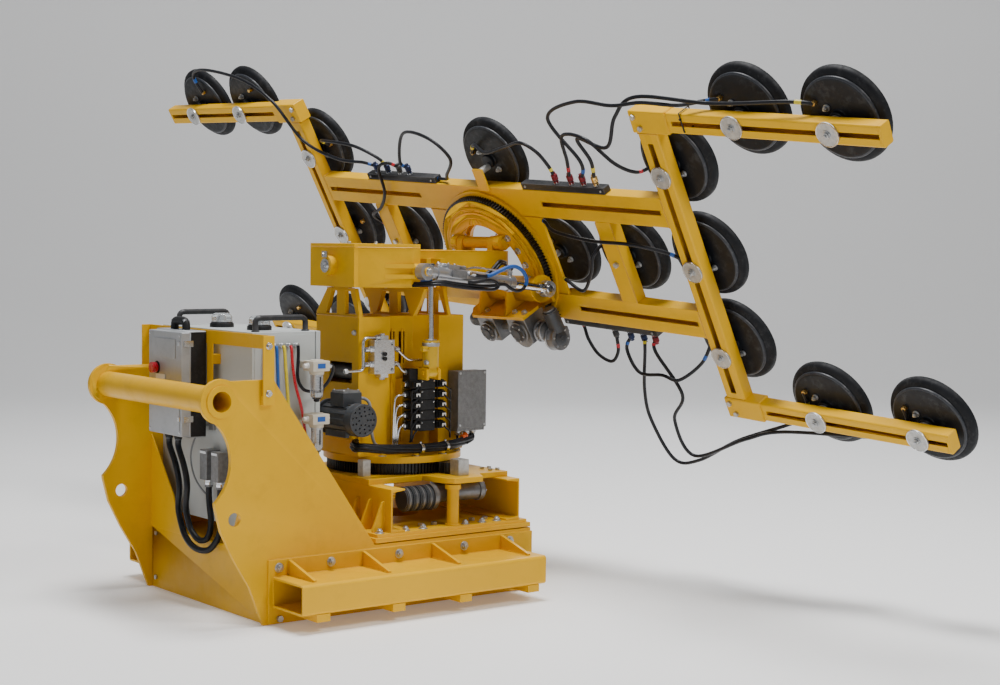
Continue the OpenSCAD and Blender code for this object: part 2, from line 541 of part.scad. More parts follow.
// ---------- head ----------
hz = 97; hn = -79;
module head_carrier() color(yel) head() {
  // stepped ring that carries the gear
  translate([0, 0, ring_v]) {
    difference() {
      union() {
        cx(-62, -50, 272);
        cx(-56, -48, 295);
        cx(-50, -15.5, 300);
        cx(-50, -45.5, 321);
      }
      cx(-63, -15, 205);
      cy(-179, 179, 20.7, hn, hz - ring_v);
      cy(-92, 92, 27.4, hn, hz - ring_v);
    }
    for (a = [54:18:126]) for (s = [-1, 1]) rotate([s * a, 0, 0]) hexx(-72, -62, 24, 0, 236);
  }
  // hinge knuckles outside the lugs of the boom
  difference() {
    union() {
      for (y = [-172, 134]) { cy(y, y + 38, 36, hn, hz); yz(hn, -52) polygon([[y, hz - 34], [y + 38, hz - 34], [y + 38, hz + 34], [y, hz + 34]]); }
    }
    for (y = [-172, 134]) cy(y - 1, y + 39, 20.4, hn, hz);
  }
  // cross beam, its ends closed by discs the cylinders' pins stand on
  difference() {
    union() {
      bx(-150, -62, -350, 350, -165, -92);
      bx(-150, -52, -350, 350, -104, -92);
      intersection() {
        mirr() cy(-350, -338, 62, -113, -118.7);
        bx(-176, -50, -360, 360, -180, -56);
      }
    }
    bx(-140, -72, -338, 338, -153, -104);
  }
  // shelf and ribs for the drive, web down to the shelf
  xy(-212, -198) polygon([[-65, 120], [-180, 120], [-240, 62], [-240, -294], [-132, -294], [-65, -340]]);
  for (y = [15, -170]) xz(y - 6, y + 6) polygon([[-238, -198], [-70, -198], [-70, -165], [-150, -165], [-150, -120], [-175, -110]]);
  yz(-76, -62) polygon([[150, -160], [120, -212], [-340, -212], [-330, -160]]);
  for (y = [-270, -205, -10, 35]) hexz(-198, -188, 22, -200, y);
}
module tilt_shaft() color(yel) up() { cy(-178, 178, 20, 670, 1510); cy(-91, 91, 27, 670, 1510); }
tp_y = -230;
tp_z = ring_v - 286.6;
module turn_drives() color([0.32, 0.31, 0.3]) head() {
  difference() {
    union() {
      // worm gear unit over the pinion
      bx(-236, -110, tp_y - 62, tp_y + 62, -336, -212);
      cx(-250, -236, 54, tp_y, -276);
      cx(-110, -50, 34, tp_y, tp_z);
      cx(-236, -110, 60, tp_y, tp_z + 14);
      // second unit in series and the shaft between
      bx(-226, -120, -56, 56, -342, -212);
      cx(-240, -226, 50, 0, -289);
      cy(-168, -56, 26, -170, -289);
      // disc motor outside, slim motors under the shelf
      cy(tp_y - 122, tp_y - 62, 46, -172, -308);
      cy(tp_y - 172, tp_y - 122, 55, -165, -345);
      bx(-196, -104, -400, -354, -345, -316);
      cz(-316, -212, 34, -150, -382);
      cz(-212, -200, 28, -150, -382);
      cy(56, 150, 34, -170, -262);
      cy(150, 162, 26, -170, -262);
    }
    cx(-240, -49, 16, tp_y, tp_z);
  }
}
module turn_pinion() color([0.3, 0.3, 0.31]) head() translate([0, tp_y, tp_z]) {
  rotate([90, 0, 90]) translate([0, 0, -44]) linear_extrude(28) gear2d(pinion_teeth, gear_m, 4, 5.5, atan2(-286.6, tp_y) + 192);
  cx(-235, -44, 15.95);
}

// ---------- vacuum frame ----------
module turn_gear_ring() color([0.13, 0.13, 0.14]) head() translate([0, 0, ring_v]) difference() {
  rotate([90, 0, 90]) translate([0, 0, -44]) linear_extrude(30) gear2d(turn_teeth, gear_m, 4, 5.5, atan2(-286.6, tp_y));
  cx(-45, -13, 300.4, $fn = 360);
}
module ring_plate() color(yel) {
  head() translate([0, 0, ring_v]) difference() { cx(-14, 0, 352, $fn = 256); cx(-15, 1, 190); }
  difference() {
    frm() yz(0, 14) polygon([[380, beam_up - beam_w / 2], [-380, beam_up - beam_w / 2], [-380, beam_w / 2 - beam_dn], [380, beam_w / 2 - beam_dn]]);
    head() translate([0, 0, ring_v]) cx(-1, 15, 190);
  }
  frm() {
    for (s = [-1, 1]) bx(0, member_d, s * 765 - 44, s * 765 + 44, beam_w / 2 - beam_dn, beam_up - beam_w / 2);
    bx(-10, 0, -108, -42, 330, 440);
  }
}
module beam1(v) difference() {
  bx(0, member_d, -upright_y + upright_w / 2, upright_y - upright_w / 2, v - beam_w / 2, v + beam_w / 2);
  bx(wall, member_d - wall, -upright_y, upright_y, v - beam_w / 2 + wall, v + beam_w / 2 - wall);
  for (q = [[-1135, -420], [420, 1135]]) bx(-1, member_d + 1, q[0], q[1], v - 12, v + 12);
}
module cross_beams() color(yel) frm() { beam1(beam_up); beam1(-beam_dn); }
module upright(y) difference() {
  bx(-2, member_d + 2, y - upright_w / 2, y + upright_w / 2, 50 - arm_dn, arm_up - 55);
  bx(wall - 2, member_d + 2 - wall, y - upright_w / 2 + wall, y + upright_w / 2 - wall, 40 - arm_dn, arm_up - 45);
  bx(-3, member_d + 3, y - 15, y + 15, -600, 600);
}
module uprights() color(yel) frm() { upright(upright_y); upright(-upright_y); }
module arm(sy, v, d, arm_end) mirror([0, sy < 0 ? 1 : 0, 0]) translate([0, 1145, v]) rotate([-d, 0, 0]) translate([0, -1145, 0]) difference() {
  union() {
    bx(0, member_d, 1157, arm_end, -44.5, 44.5);
    bx(-6, member_d + 6, 1145, 1337, -50, 50);
  }
  bx(wall, member_d - wall, 1200, arm_end - 6, -39.5, 39.5);
  bx(-1, member_d + 1, 1360, arm_end - 14, -10, 10);
}
module end_arms() color(yel) frm() for (sy = [-1, 1]) { arm(sy, arm_up, droop, arm_len); arm(sy, -arm_dn, 0, arm_len - 78); }
// pad centres: y, z, and the depth of the member's two faces
pads = [for (sy = [-1, 1]) each [for (p = [[1668, arm_up - 17, 0], [2118, arm_up - 33, 0], [1628, -arm_dn, 0], [2128, -arm_dn, 0], [upright_y, 447, 2], [upright_y, 5, 2], [upright_y, -418, 2]]) [sy * p[0], p[1], p[2]]]];
mid_pads = [[765, 0], [-765, 0], [-75, 440], [-335, -10]];
// each pad hangs a little above its clamping disc
hung = concat([for (p = pads) [p[0], p[1] + 20]], mid_pads);
// place of the hose elbow on a pad
function port(p) = abs(p[0]) < 1000 ? [90, 40] : p[0] < 0 ? (abs(p[0]) > 1400 ? [90, 66] : [118, -14]) : (p[0] > 1400 ? [-62, 82] : [-112, 22]);
module clamp_discs() color([0.6, 0.6, 0.58]) frm() {
  for (p = pads) {
    cx(-8 - p[2], -p[2], 50, p[0], p[1]); cx(-p[2], 62, 7.5, p[0], p[1]); hexx(-19 - p[2], -8 - p[2], 24, p[0], p[1]);
    cx(member_d + p[2], 62, 44, p[0], p[1]);
  }
  for (y = [765, -765]) { hexx(-13, 0, 24, y, 0); cx(member_d, 62, 30, y, 0); }
  cx(0, 62, 16, -75, 420); cx(14, 62, 16, -335, -10);
  for (sy = [-1, 1], q = [0, 1]) {
    hexx(-17, -6, 22, sy * (1170 + 22 * q), arm_up - 1 + 24 - 50 * q);
    hexx(-17, -6, 22, sy * (1170 + 22 * q), 24 - 50 * q - arm_dn);
  }
}
module pad(y, z) translate([0, y, z]) {
  cx(62, 84, 34); cx(84, 96, 166);
  for (s = [-1, 1]) rotate([45, 0, 0]) hexx(76, 84, 20, s * 62, 0);
  cx(74, 84, 11, port([y, z])[0], port([y, z])[1]);
}
module suction_plates() color(blk) frm() { for (p = hung) pad(p[0], p[1]); }
module lip() rotate([0, 90, 0]) rotate_extrude() polygon([[140, 96.5], [166, 96.5], [180, 102], [pad_d / 2 - 3, 114], [pad_d / 2, 134], [pad_d / 2 - 8, 134], [176, 122], [140, 112]]);
module suction_lips() color([0.05, 0.05, 0.06]) frm() { for (p = hung) translate([0, p[0], p[1]]) lip(); }
up_c = [715, 630, 540, 470, -540, -635, -710, -785];
dn_c = [-570, -665, -745, -815];
module vacuum_manifolds() color(blk) frm() {
  t = beam_up + beam_w / 2; b = -beam_dn - beam_w / 2;
  for (m = [[270, 785], [-840, -325]]) bx(4, 44, m[0], m[1], t, t + 30);
  bx(4, 44, -860, -275, b - 30, b);
  for (y = up_c) cz(t + 30, t + 62, 11, 24, y);
  for (y = dn_c) cz(b - 62, b - 30, 11, 24, y);
}
module vacuum_hoses() color(blk) frm() {
  // upper manifold to the pads of the far side
  tube([[24, 715, 408], [0, 770, 440], [-30, 925, 470], [-30, 1150, 565], [-30, 1275, 780], [-10, 1500, 890], [20, 1850, 930], [56, 2046, 880], [70, 2056, 769]], 6.5);
  tube([[24, 630, 408], [0, 640, 470], [-20, 760, 540], [-20, 950, 560], [10, 1060, 545], [70, 1098, 489]], 6.5);
  tube([[24, 540, 408], [-10, 560, 450], [-30, 620, 430], [-30, 650, 300], [-30, 730, 210], [-26, 822, 165], [20, 858, 100], [70, 855, 40]], 6.5);
  tube([[24, 470, 408], [0, 475, 460], [-20, 335, 620], [-60, 110, 620], [-50, 25, 515], [-20, 135, 410], [20, 200, 366], [24, 262, 361], [24, 270, 361]], 6.5);
  // upper manifold to the pads of the near side
  tube([[70, 15, 480], [40, -60, 540], [-10, -185, 530], [-20, -345, 570], [-40, -475, 605], [-30, -545, 560], [10, -542, 470], [24, -540, 408]], 6.5);
  tube([[24, -635, 408], [0, -685, 505], [-30, -745, 640], [-50, -900, 640], [-30, -1000, 520], [20, -1050, 455], [70, -1092, 453]], 6.5);
  tube([[24, -710, 408], [0, -765, 505], [-30, -695, 720], [-40, -905, 805], [-40, -1110, 790], [-30, -1265, 800], [0, -1420, 775], [50, -1510, 768], [70, -1578, 769]], 6.5);
  tube([[24, -785, 408], [0, -830, 510], [-20, -820, 625], [-50, -1010, 605], [-30, -1095, 735], [-10, -1230, 815], [0, -1600, 785], [40, -1930, 775], [70, -2028, 753]], 6.5);
  // lower manifold
  tube([[24, -370, -361], [22, -375, -385], [0, -400, -430], [-20, -455, -490], [-25, -535, -515], [0, -572, -470], [24, -570, -393]], 6.5);
  tube([[24, -665, -393], [-5, -640, -450], [-40, -710, -540], [-40, -850, -535], [-30, -935, -555], [40, -1030, -500], [70, -1092, -412]], 6.5);
  tube([[24, -745, -393], [-5, -755, -440], [-30, -690, -645], [-40, -675, -805], [-40, -735, -1010], [-30, -885, -995], [-10, -1155, -850], [64, -1440, -756], [72, -1530, -680], [70, -1538, -594]], 6.5);
  tube([[24, -815, -393], [-5, -820, -440], [-40, -935, -625], [-50, -840, -770], [-40, -875, -965], [-20, -1205, -830], [30, -1400, -790], [68, -1920, -752], [74, -2030, -690], [70, -2038, -594]], 6.5);
  // rotary joint to the two pads beside it
  tube([[7, -380, 188], [0, -402, 184], [-30, -480, 160], [-30, -685, 130], [-30, -920, 130], [40, -1040, 60], [70, -1092, 11]], 6.5);
  tube([[7, -380, -112], [0, -404, -116], [-15, -505, -150], [-20, -605, -45], [-15, -650, 40], [50, -670, 70], [70, -675, 40]], 6.5);
}
base_box();
fork_pocket_near();
fork_pocket_far();
side_plate_near();
side_plate_far();
cross_tube();
rear_cross_plate();
adapter_plates();
support_channels();
ring_mount_plate();
slew_inner_race();
slew_drive();
stop_blocks();
base_bolts();
cabinet_bracket();
cabinet();
cabinet_handles();
beacons();
receiver();
vacuum_filters();
connector_hoods();
control_cable_inner();
control_cable_outer();
cabinet_hoses();
cabinet_cover();
stop_button();
slew_pinion();
slew_gear_ring();
turntable_plate();
tower();
electric_motor();
motor_fan();
pump_tank();
manifold_block();
valve_bank();
hydraulic_pipes();
electrical_box();
hose_bundle();
roll_cylinder_barrel();
roll_cylinder_rod();
boom();
roll_pin();
boom_hoses();
tilt_cylinder_barrel();
tilt_cylinder_rod();
head_carrier();
tilt_shaft();
turn_drives();
turn_pinion();
turn_gear_ring();
ring_plate();
cross_beams();
uprights();
end_arms();
clamp_discs();
vacuum_manifolds();
vacuum_hoses();
suction_plates();
suction_lips();
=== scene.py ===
import bpy, bmesh, json, math, random
from mathutils import Matrix, Vector


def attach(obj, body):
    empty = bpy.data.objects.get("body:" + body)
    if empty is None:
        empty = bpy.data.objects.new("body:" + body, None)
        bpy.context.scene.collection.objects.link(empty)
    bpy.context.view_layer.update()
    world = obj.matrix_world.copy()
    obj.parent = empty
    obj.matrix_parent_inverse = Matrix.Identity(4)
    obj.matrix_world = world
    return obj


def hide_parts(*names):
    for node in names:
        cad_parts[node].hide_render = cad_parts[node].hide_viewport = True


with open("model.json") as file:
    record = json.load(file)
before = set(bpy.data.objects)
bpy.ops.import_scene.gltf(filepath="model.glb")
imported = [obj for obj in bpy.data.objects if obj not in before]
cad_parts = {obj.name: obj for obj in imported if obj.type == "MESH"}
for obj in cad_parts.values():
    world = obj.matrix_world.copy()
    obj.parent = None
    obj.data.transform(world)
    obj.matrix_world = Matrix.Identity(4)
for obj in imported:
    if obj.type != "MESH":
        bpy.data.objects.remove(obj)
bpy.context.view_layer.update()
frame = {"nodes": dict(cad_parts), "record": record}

NODES = frame["nodes"]

# ---------------------------------------------------------------- camera
YAW, PITCH, ROLL = 0.9113, -0.0574, 0.0117
F = Vector((math.cos(PITCH) * math.cos(YAW), math.cos(PITCH) * math.sin(YAW), math.sin(PITCH)))
R0 = Vector((math.sin(YAW), -math.cos(YAW), 0.0))
U0 = R0.cross(F)
RR = R0 * math.cos(ROLL) + U0 * math.sin(ROLL)
UU = U0 * math.cos(ROLL) - R0 * math.sin(ROLL)
cam_data = bpy.data.cameras.new("camera")
cam = bpy.data.objects.new("camera", cam_data)
bpy.context.scene.collection.objects.link(cam)
cam_data.sensor_width = 36.0
cam_data.lens = 64.58
cam_data.clip_end = 100.0
m = Matrix((RR, UU, -F)).transposed().to_4x4()
m.translation = Vector((-4.3098, -6.5653, 1.5248))
cam.matrix_world = m
bpy.context.scene.camera = cam

# ---------------------------------------------------------------- frames (millimetres to metres)
S = Matrix.Scale(0.001, 4)
T = Matrix.Translation
def Rz(a): return Matrix.Rotation(math.radians(a), 4, 'Z')
def Ry(a): return Matrix.Rotation(math.radians(a), 4, 'Y')
def Rx(a): return Matrix.Rotation(math.radians(a), 4, 'X')
BASE = S
UP = S @ T((180, 0, 0)) @ Rz(2.17) @ T((-180, 0, 0))
HEAD = UP @ T((787.4, 0, 1466.5)) @ Ry(-30.4)
FRM = HEAD @ Rx(3.86)
RING = HEAD @ T((0, 0, -28))
TC = UP @ T((62, 0, 1385)) @ Ry(-math.degrees(math.atan2(1307 - 1385, 750 - 62)))

# ---------------------------------------------------------------- materials
def new_mat(name):
    mt = bpy.data.materials.new(name)
    mt.use_nodes = True
    nt = mt.node_tree
    for n in list(nt.nodes):
        nt.nodes.remove(n)
    out = nt.nodes.new("ShaderNodeOutputMaterial")
    b = nt.nodes.new("ShaderNodeBsdfPrincipled")
    nt.links.new(b.outputs[0], out.inputs[0])
    return mt, nt, b

def surface(name, col, col2, scale=6.0, rough=(0.35, 0.5), metal=0.0, bump=0.05, bscale=180.0,
            dirt=None, dirt_amt=0.25, coat=0.0, wear=None, spec=None, bdist=0.001, stretch=(1, 1, 1)):
    """Paint or metal: large soft variation, fine grain in the bump, patches of dirt, worn edges."""
    mt, nt, b = new_mat(name)
    L = nt.links.new
    tc = nt.nodes.new("ShaderNodeTexCoord")
    mp = nt.nodes.new("ShaderNodeMapping")
    mp.inputs["Scale"].default_value = stretch
    L(tc.outputs["Object"], mp.inputs["Vector"])
    n1 = nt.nodes.new("ShaderNodeTexNoise")
    n1.inputs["Scale"].default_value = scale
    n1.inputs["Detail"].default_value = 6.0
    n1.inputs["Roughness"].default_value = 0.6
    L(mp.outputs[0], n1.inputs["Vector"])
    r1 = nt.nodes.new("ShaderNodeValToRGB")
    r1.color_ramp.elements[0].position = 0.3
    r1.color_ramp.elements[1].position = 0.7
    r1.color_ramp.elements[0].color = (*col, 1)
    r1.color_ramp.elements[1].color = (*col2, 1)
    L(n1.outputs["Fac"], r1.inputs["Fac"])
    colour = r1.outputs["Color"]
    if dirt:
        n2 = nt.nodes.new("ShaderNodeTexNoise")
        n2.inputs["Scale"].default_value = scale * 2.7
        n2.inputs["Detail"].default_value = 9.0
        n2.inputs["Roughness"].default_value = 0.7
        L(mp.outputs[0], n2.inputs["Vector"])
        r2 = nt.nodes.new("ShaderNodeValToRGB")
        r2.color_ramp.elements[0].position = 0.52
        r2.color_ramp.elements[1].position = 0.74
        r2.color_ramp.elements[0].color = (0, 0, 0, 1)
        r2.color_ramp.elements[1].color = (dirt_amt, dirt_amt, dirt_amt, 1)
        L(n2.outputs["Fac"], r2.inputs["Fac"])
        mx = nt.nodes.new("ShaderNodeMixRGB")
        mx.inputs["Color2"].default_value = (*dirt, 1)
        L(r2.outputs["Color"], mx.inputs["Fac"])
        L(colour, mx.inputs["Color1"])
        colour = mx.outputs["Color"]
    if wear:
        g = nt.nodes.new("ShaderNodeNewGeometry")
        r3 = nt.nodes.new("ShaderNodeValToRGB")
        r3.color_ramp.elements[0].position = 0.52
        r3.color_ramp.elements[1].position = 0.60
        r3.color_ramp.elements[0].color = (0, 0, 0, 1)
        r3.color_ramp.elements[1].color = (0.55, 0.55, 0.55, 1)
        L(g.outputs["Pointiness"], r3.inputs["Fac"])
        mx = nt.nodes.new("ShaderNodeMixRGB")
        mx.inputs["Color2"].default_value = (*wear, 1)
        L(r3.outputs["Color"], mx.inputs["Fac"])
        L(colour, mx.inputs["Color1"])
        colour = mx.outputs["Color"]
    L(colour, b.inputs["Base Color"])
    n3 = nt.nodes.new("ShaderNodeTexNoise")
    n3.inputs["Scale"].default_value = scale * 5
    n3.inputs["Detail"].default_value = 5.0
    L(mp.outputs[0], n3.inputs["Vector"])
    mr = nt.nodes.new("ShaderNodeMapRange")
    mr.inputs["From Min"].default_value = 0.3
    mr.inputs["From Max"].default_value = 0.7
    mr.inputs["To Min"].default_value = rough[0]
    mr.inputs["To Max"].default_value = rough[1]
    L(n3.outputs["Fac"], mr.inputs["Value"])
    L(mr.outputs[0], b.inputs["Roughness"])
    n4 = nt.nodes.new("ShaderNodeTexNoise")
    n4.inputs["Scale"].default_value = bscale
    n4.inputs["Detail"].default_value = 3.0
    L(mp.outputs[0], n4.inputs["Vector"])
    bp = nt.nodes.new("ShaderNodeBump")
    bp.inputs["Strength"].default_value = bump
    bp.inputs["Distance"].default_value = bdist
    L(n4.outputs["Fac"], bp.inputs["Height"])
    L(bp.outputs[0], b.inputs["Normal"])
    b.inputs["Metallic"].default_value = metal
    if coat:
        b.inputs["Coat Weight"].default_value = coat
        b.inputs["Coat Roughness"].default_value = 0.12
    if spec is not None:
        b.inputs["Specular IOR Level"].default_value = spec
    return mt

Y1, Y2 = (0.74, 0.41, 0.0), (0.66, 0.355, 0.0)
YEL = surface("paint_yellow", Y1, Y2, scale=3.0, rough=(0.3, 0.46), bump=0.25, bscale=420, dirt=(0.30, 0.15, 0.005),
              dirt_amt=0.22, coat=0.0, spec=0.22, wear=(0.84, 0.47, 0.01), bdist=0.0006)
YELW = surface("weld_yellow", (0.68, 0.35, 0.0), (0.58, 0.29, 0.0), scale=40, rough=(0.35, 0.5), bump=0.6, bscale=260,
               coat=0.15, bdist=0.0012)
ZINC = surface("zinc_plate", (0.56, 0.57, 0.58), (0.40, 0.41, 0.42), scale=30, rough=(0.28, 0.5), metal=0.9, bump=0.15,
               bscale=500, dirt=(0.2, 0.2, 0.19), dirt_amt=0.3, bdist=0.0005)
GALV = surface("galvanised", (0.60, 0.60, 0.58), (0.42, 0.42, 0.41), scale=55, rough=(0.35, 0.6), metal=0.75, bump=0.3,
               bscale=260, dirt=(0.25, 0.24, 0.22), dirt_amt=0.35, bdist=0.0006)
BRIGHT = surface("bright_steel", (0.74, 0.75, 0.76), (0.62, 0.63, 0.65), scale=20, rough=(0.15, 0.3), metal=1.0, bump=0.08,
                 bscale=700, bdist=0.0004, stretch=(1, 1, 8))
CHROME = surface("hard_chrome", (0.80, 0.81, 0.83), (0.74, 0.75, 0.77), scale=12, rough=(0.06, 0.16), metal=1.0, bump=0.03,
                 bscale=600, bdist=0.0003)
SILVERP = surface("silver_paint", (0.46, 0.47, 0.49), (0.38, 0.39, 0.41), scale=5, rough=(0.26, 0.36), metal=0.8, bump=0.03,
                  bscale=300, dirt=(0.25, 0.25, 0.26), dirt_amt=0.2, bdist=0.0003)
ALU = surface("machined_aluminium", (0.72, 0.73, 0.74), (0.60, 0.61, 0.63), scale=14, rough=(0.22, 0.4), metal=0.9, bump=0.15,
              bscale=380, bdist=0.0004, stretch=(1, 1, 20))
BLKP = surface("black_paint", (0.008, 0.0085, 0.01), (0.014, 0.0145, 0.016), scale=12, rough=(0.32, 0.5), bump=0.2, bscale=350,
               dirt=(0.12, 0.11, 0.1), dirt_amt=0.2, coat=0.1, wear=(0.16, 0.16, 0.17), bdist=0.0005, spec=0.3)
BLKM = surface("black_plastic", (0.008, 0.008, 0.009), (0.014, 0.014, 0.015), scale=25, rough=(0.42, 0.6), bump=0.3, bscale=900,
               dirt=(0.1, 0.1, 0.1), dirt_amt=0.18, bdist=0.0004, spec=0.3)
RUB = surface("rubber_lip", (0.008, 0.0085, 0.01), (0.014, 0.015, 0.018), scale=10, rough=(0.45, 0.65), bump=0.25, bscale=500,
              dirt=(0.13, 0.13, 0.13), dirt_amt=0.25, bdist=0.0005, spec=0.15)
HOSE = surface("hose_black", (0.006, 0.0065, 0.009), (0.011, 0.012, 0.016), scale=30, rough=(0.28, 0.45), bump=0.15, bscale=600,
               dirt=(0.1, 0.1, 0.1), dirt_amt=0.12, bdist=0.0004, spec=0.3)
PADP = surface("pad_plate_black", (0.005, 0.006, 0.0085), (0.009, 0.0105, 0.014), scale=7, rough=(0.34, 0.55), bump=0.3, bscale=500,
               dirt=(0.16, 0.17, 0.18), dirt_amt=0.22, coat=0.08, bdist=0.0004, spec=0.22)
RIM = surface("pad_rim_grey", (0.035, 0.039, 0.047), (0.022, 0.024, 0.03), scale=18, rough=(0.3, 0.5), bump=0.2, bscale=400,
              dirt=(0.3, 0.3, 0.3), dirt_amt=0.2, bdist=0.0004, spec=0.35)
GEAR = surface("gear_steel_dark", (0.028, 0.027, 0.026), (0.05, 0.048, 0.045), scale=40, rough=(0.25, 0.45), metal=0.7, bump=0.25,
               bscale=400, dirt=(0.02, 0.018, 0.015), dirt_amt=0.6, bdist=0.0005)
CAST = surface("cast_dark", (0.045, 0.043, 0.04), (0.08, 0.076, 0.07), scale=25, rough=(0.45, 0.65), metal=0.2, bump=0.7,
               bscale=230, dirt=(0.2, 0.17, 0.12), dirt_amt=0.3, bdist=0.0012)
SCAST = surface("cast_silver", (0.24, 0.24, 0.245), (0.13, 0.13, 0.132), scale=14, rough=(0.28, 0.5), metal=0.75, bump=0.5,
               bscale=260, dirt=(0.08, 0.07, 0.06), dirt_amt=0.35)
MOTOR = surface("motor_grey", (0.026, 0.029, 0.034), (0.038, 0.042, 0.048), scale=10, rough=(0.36, 0.52), bump=0.25, bscale=350,
                dirt=(0.14, 0.13, 0.12), dirt_amt=0.25, bdist=0.0005)
CAB = surface("cabinet_paint", (0.50, 0.525, 0.52), (0.44, 0.465, 0.46), scale=4, rough=(0.38, 0.5), bump=0.5, bscale=800,
              dirt=(0.4, 0.4, 0.38), dirt_amt=0.15, bdist=0.0003)
HAMMER = surface("hammered_grey", (0.13, 0.131, 0.134), (0.20, 0.202, 0.205), scale=60, rough=(0.28, 0.45), metal=0.3, bump=0.9,
                 bscale=170, bdist=0.0014)
SILV = surface("receiver_silver", (0.42, 0.435, 0.455), (0.35, 0.365, 0.38), scale=9, rough=(0.3, 0.45), metal=0.4, bump=0.15,
               bscale=600, dirt=(0.15, 0.15, 0.15), dirt_amt=0.25, bdist=0.0004)
BEIGE = surface("filter_beige", (0.62, 0.58, 0.48), (0.53, 0.49, 0.40), scale=18, rough=(0.4, 0.55), bump=0.2, bscale=500,
                dirt=(0.3, 0.28, 0.22), dirt_amt=0.25, bdist=0.0004)
BRASS = surface("brass", (0.72, 0.48, 0.16), (0.58, 0.37, 0.12), scale=30, rough=(0.2, 0.4), metal=1.0, bump=0.1, bscale=500, bdist=0.0004)
REDP = surface("red_plastic", (0.55, 0.004, 0.02), (0.42, 0.003, 0.015), scale=25, rough=(0.22, 0.35), bump=0.1, bscale=600, coat=0.3, bdist=0.0003)
DRED = surface("coupling_red", (0.20, 0.004, 0.01), (0.13, 0.003, 0.008), scale=40, rough=(0.28, 0.4), metal=0.4, bump=0.1, bscale=600, bdist=0.0003)
NAVY = surface("coupling_blue", (0.008, 0.02, 0.075), (0.005, 0.012, 0.05), scale=40, rough=(0.28, 0.4), metal=0.4, bump=0.1, bscale=600, bdist=0.0003)
BLUE = surface("tape_blue", (0.01, 0.10, 0.40), (0.008, 0.07, 0.30), scale=60, rough=(0.35, 0.5), bump=0.15, bscale=700, bdist=0.0003)
YTAPE = surface("tape_yellow", (0.75, 0.6, 0.03), (0.6, 0.48, 0.02), scale=60, rough=(0.35, 0.5), bump=0.15, bscale=700, bdist=0.0003)
ORANGE = surface("orange_plastic", (0.8, 0.12, 0.0), (0.65, 0.09, 0.0), scale=60, rough=(0.35, 0.5), bump=0.1, bscale=700, bdist=0.0003)
WHITE = surface("white_plastic", (0.75, 0.75, 0.73), (0.66, 0.66, 0.64), scale=40, rough=(0.35, 0.5), bump=0.1, bscale=700, bdist=0.0003)
GREYC = surface("grey_cable", (0.26, 0.27, 0.28), (0.2, 0.21, 0.22), scale=30, rough=(0.4, 0.55), bump=0.1, bscale=600, bdist=0.0003)
CYLY = surface("cylinder_yellow", (0.68, 0.42, 0.0), (0.6, 0.36, 0.0), scale=8, rough=(0.3, 0.44), bump=0.2, bscale=420,
               dirt=(0.25, 0.17, 0.04), dirt_amt=0.35, coat=0.2, bdist=0.0005)
DARK = surface("inner_dark", (0.012, 0.012, 0.012), (0.02, 0.02, 0.02), scale=30, rough=(0.6, 0.8), bump=0.1, bscale=400)
def clear(name, col, trans=0.85, rough=0.08):
    mt, nt, b = new_mat(name)
    tc = nt.nodes.new("ShaderNodeTexCoord")
    n = nt.nodes.new("ShaderNodeTexNoise")
    n.inputs["Scale"].default_value = 60
    nt.links.new(tc.outputs["Object"], n.inputs["Vector"])
    mr = nt.nodes.new("ShaderNodeMapRange")
    mr.inputs["To Min"].default_value = rough * 0.6
    mr.inputs["To Max"].default_value = rough * 2.0
    nt.links.new(n.outputs["Fac"], mr.inputs["Value"])
    nt.links.new(mr.outputs[0], b.inputs["Roughness"])
    b.inputs["Base Color"].default_value = (*col, 1)
    b.inputs["Transmission Weight"].default_value = trans
    b.inputs["IOR"].default_value = 1.49
    return mt
CLEAR = clear("clear_plastic", (0.86, 0.89, 0.92))

# ---------------------------------------------------------------- mesh tools
def finish_mesh(me, mat, smooth=35):
    me.materials.clear()
    me.materials.append(mat)
    for p in me.polygons:
        p.use_smooth = True
    me.set_sharp_from_angle(angle=math.radians(smooth))

def obj_from_bm(name, bm, mat, body, smooth=35, wn=True):
    me = bpy.data.meshes.new(name)
    bmesh.ops.recalc_face_normals(bm, faces=bm.faces)
    bm.to_mesh(me)
    bm.free()
    finish_mesh(me, mat, smooth)
    o = bpy.data.objects.new(name, me)
    bpy.context.scene.collection.objects.link(o)
    if wn:
        w = o.modifiers.new("wn", 'WEIGHTED_NORMAL')
        w.keep_sharp = True
    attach(o, body)
    return o

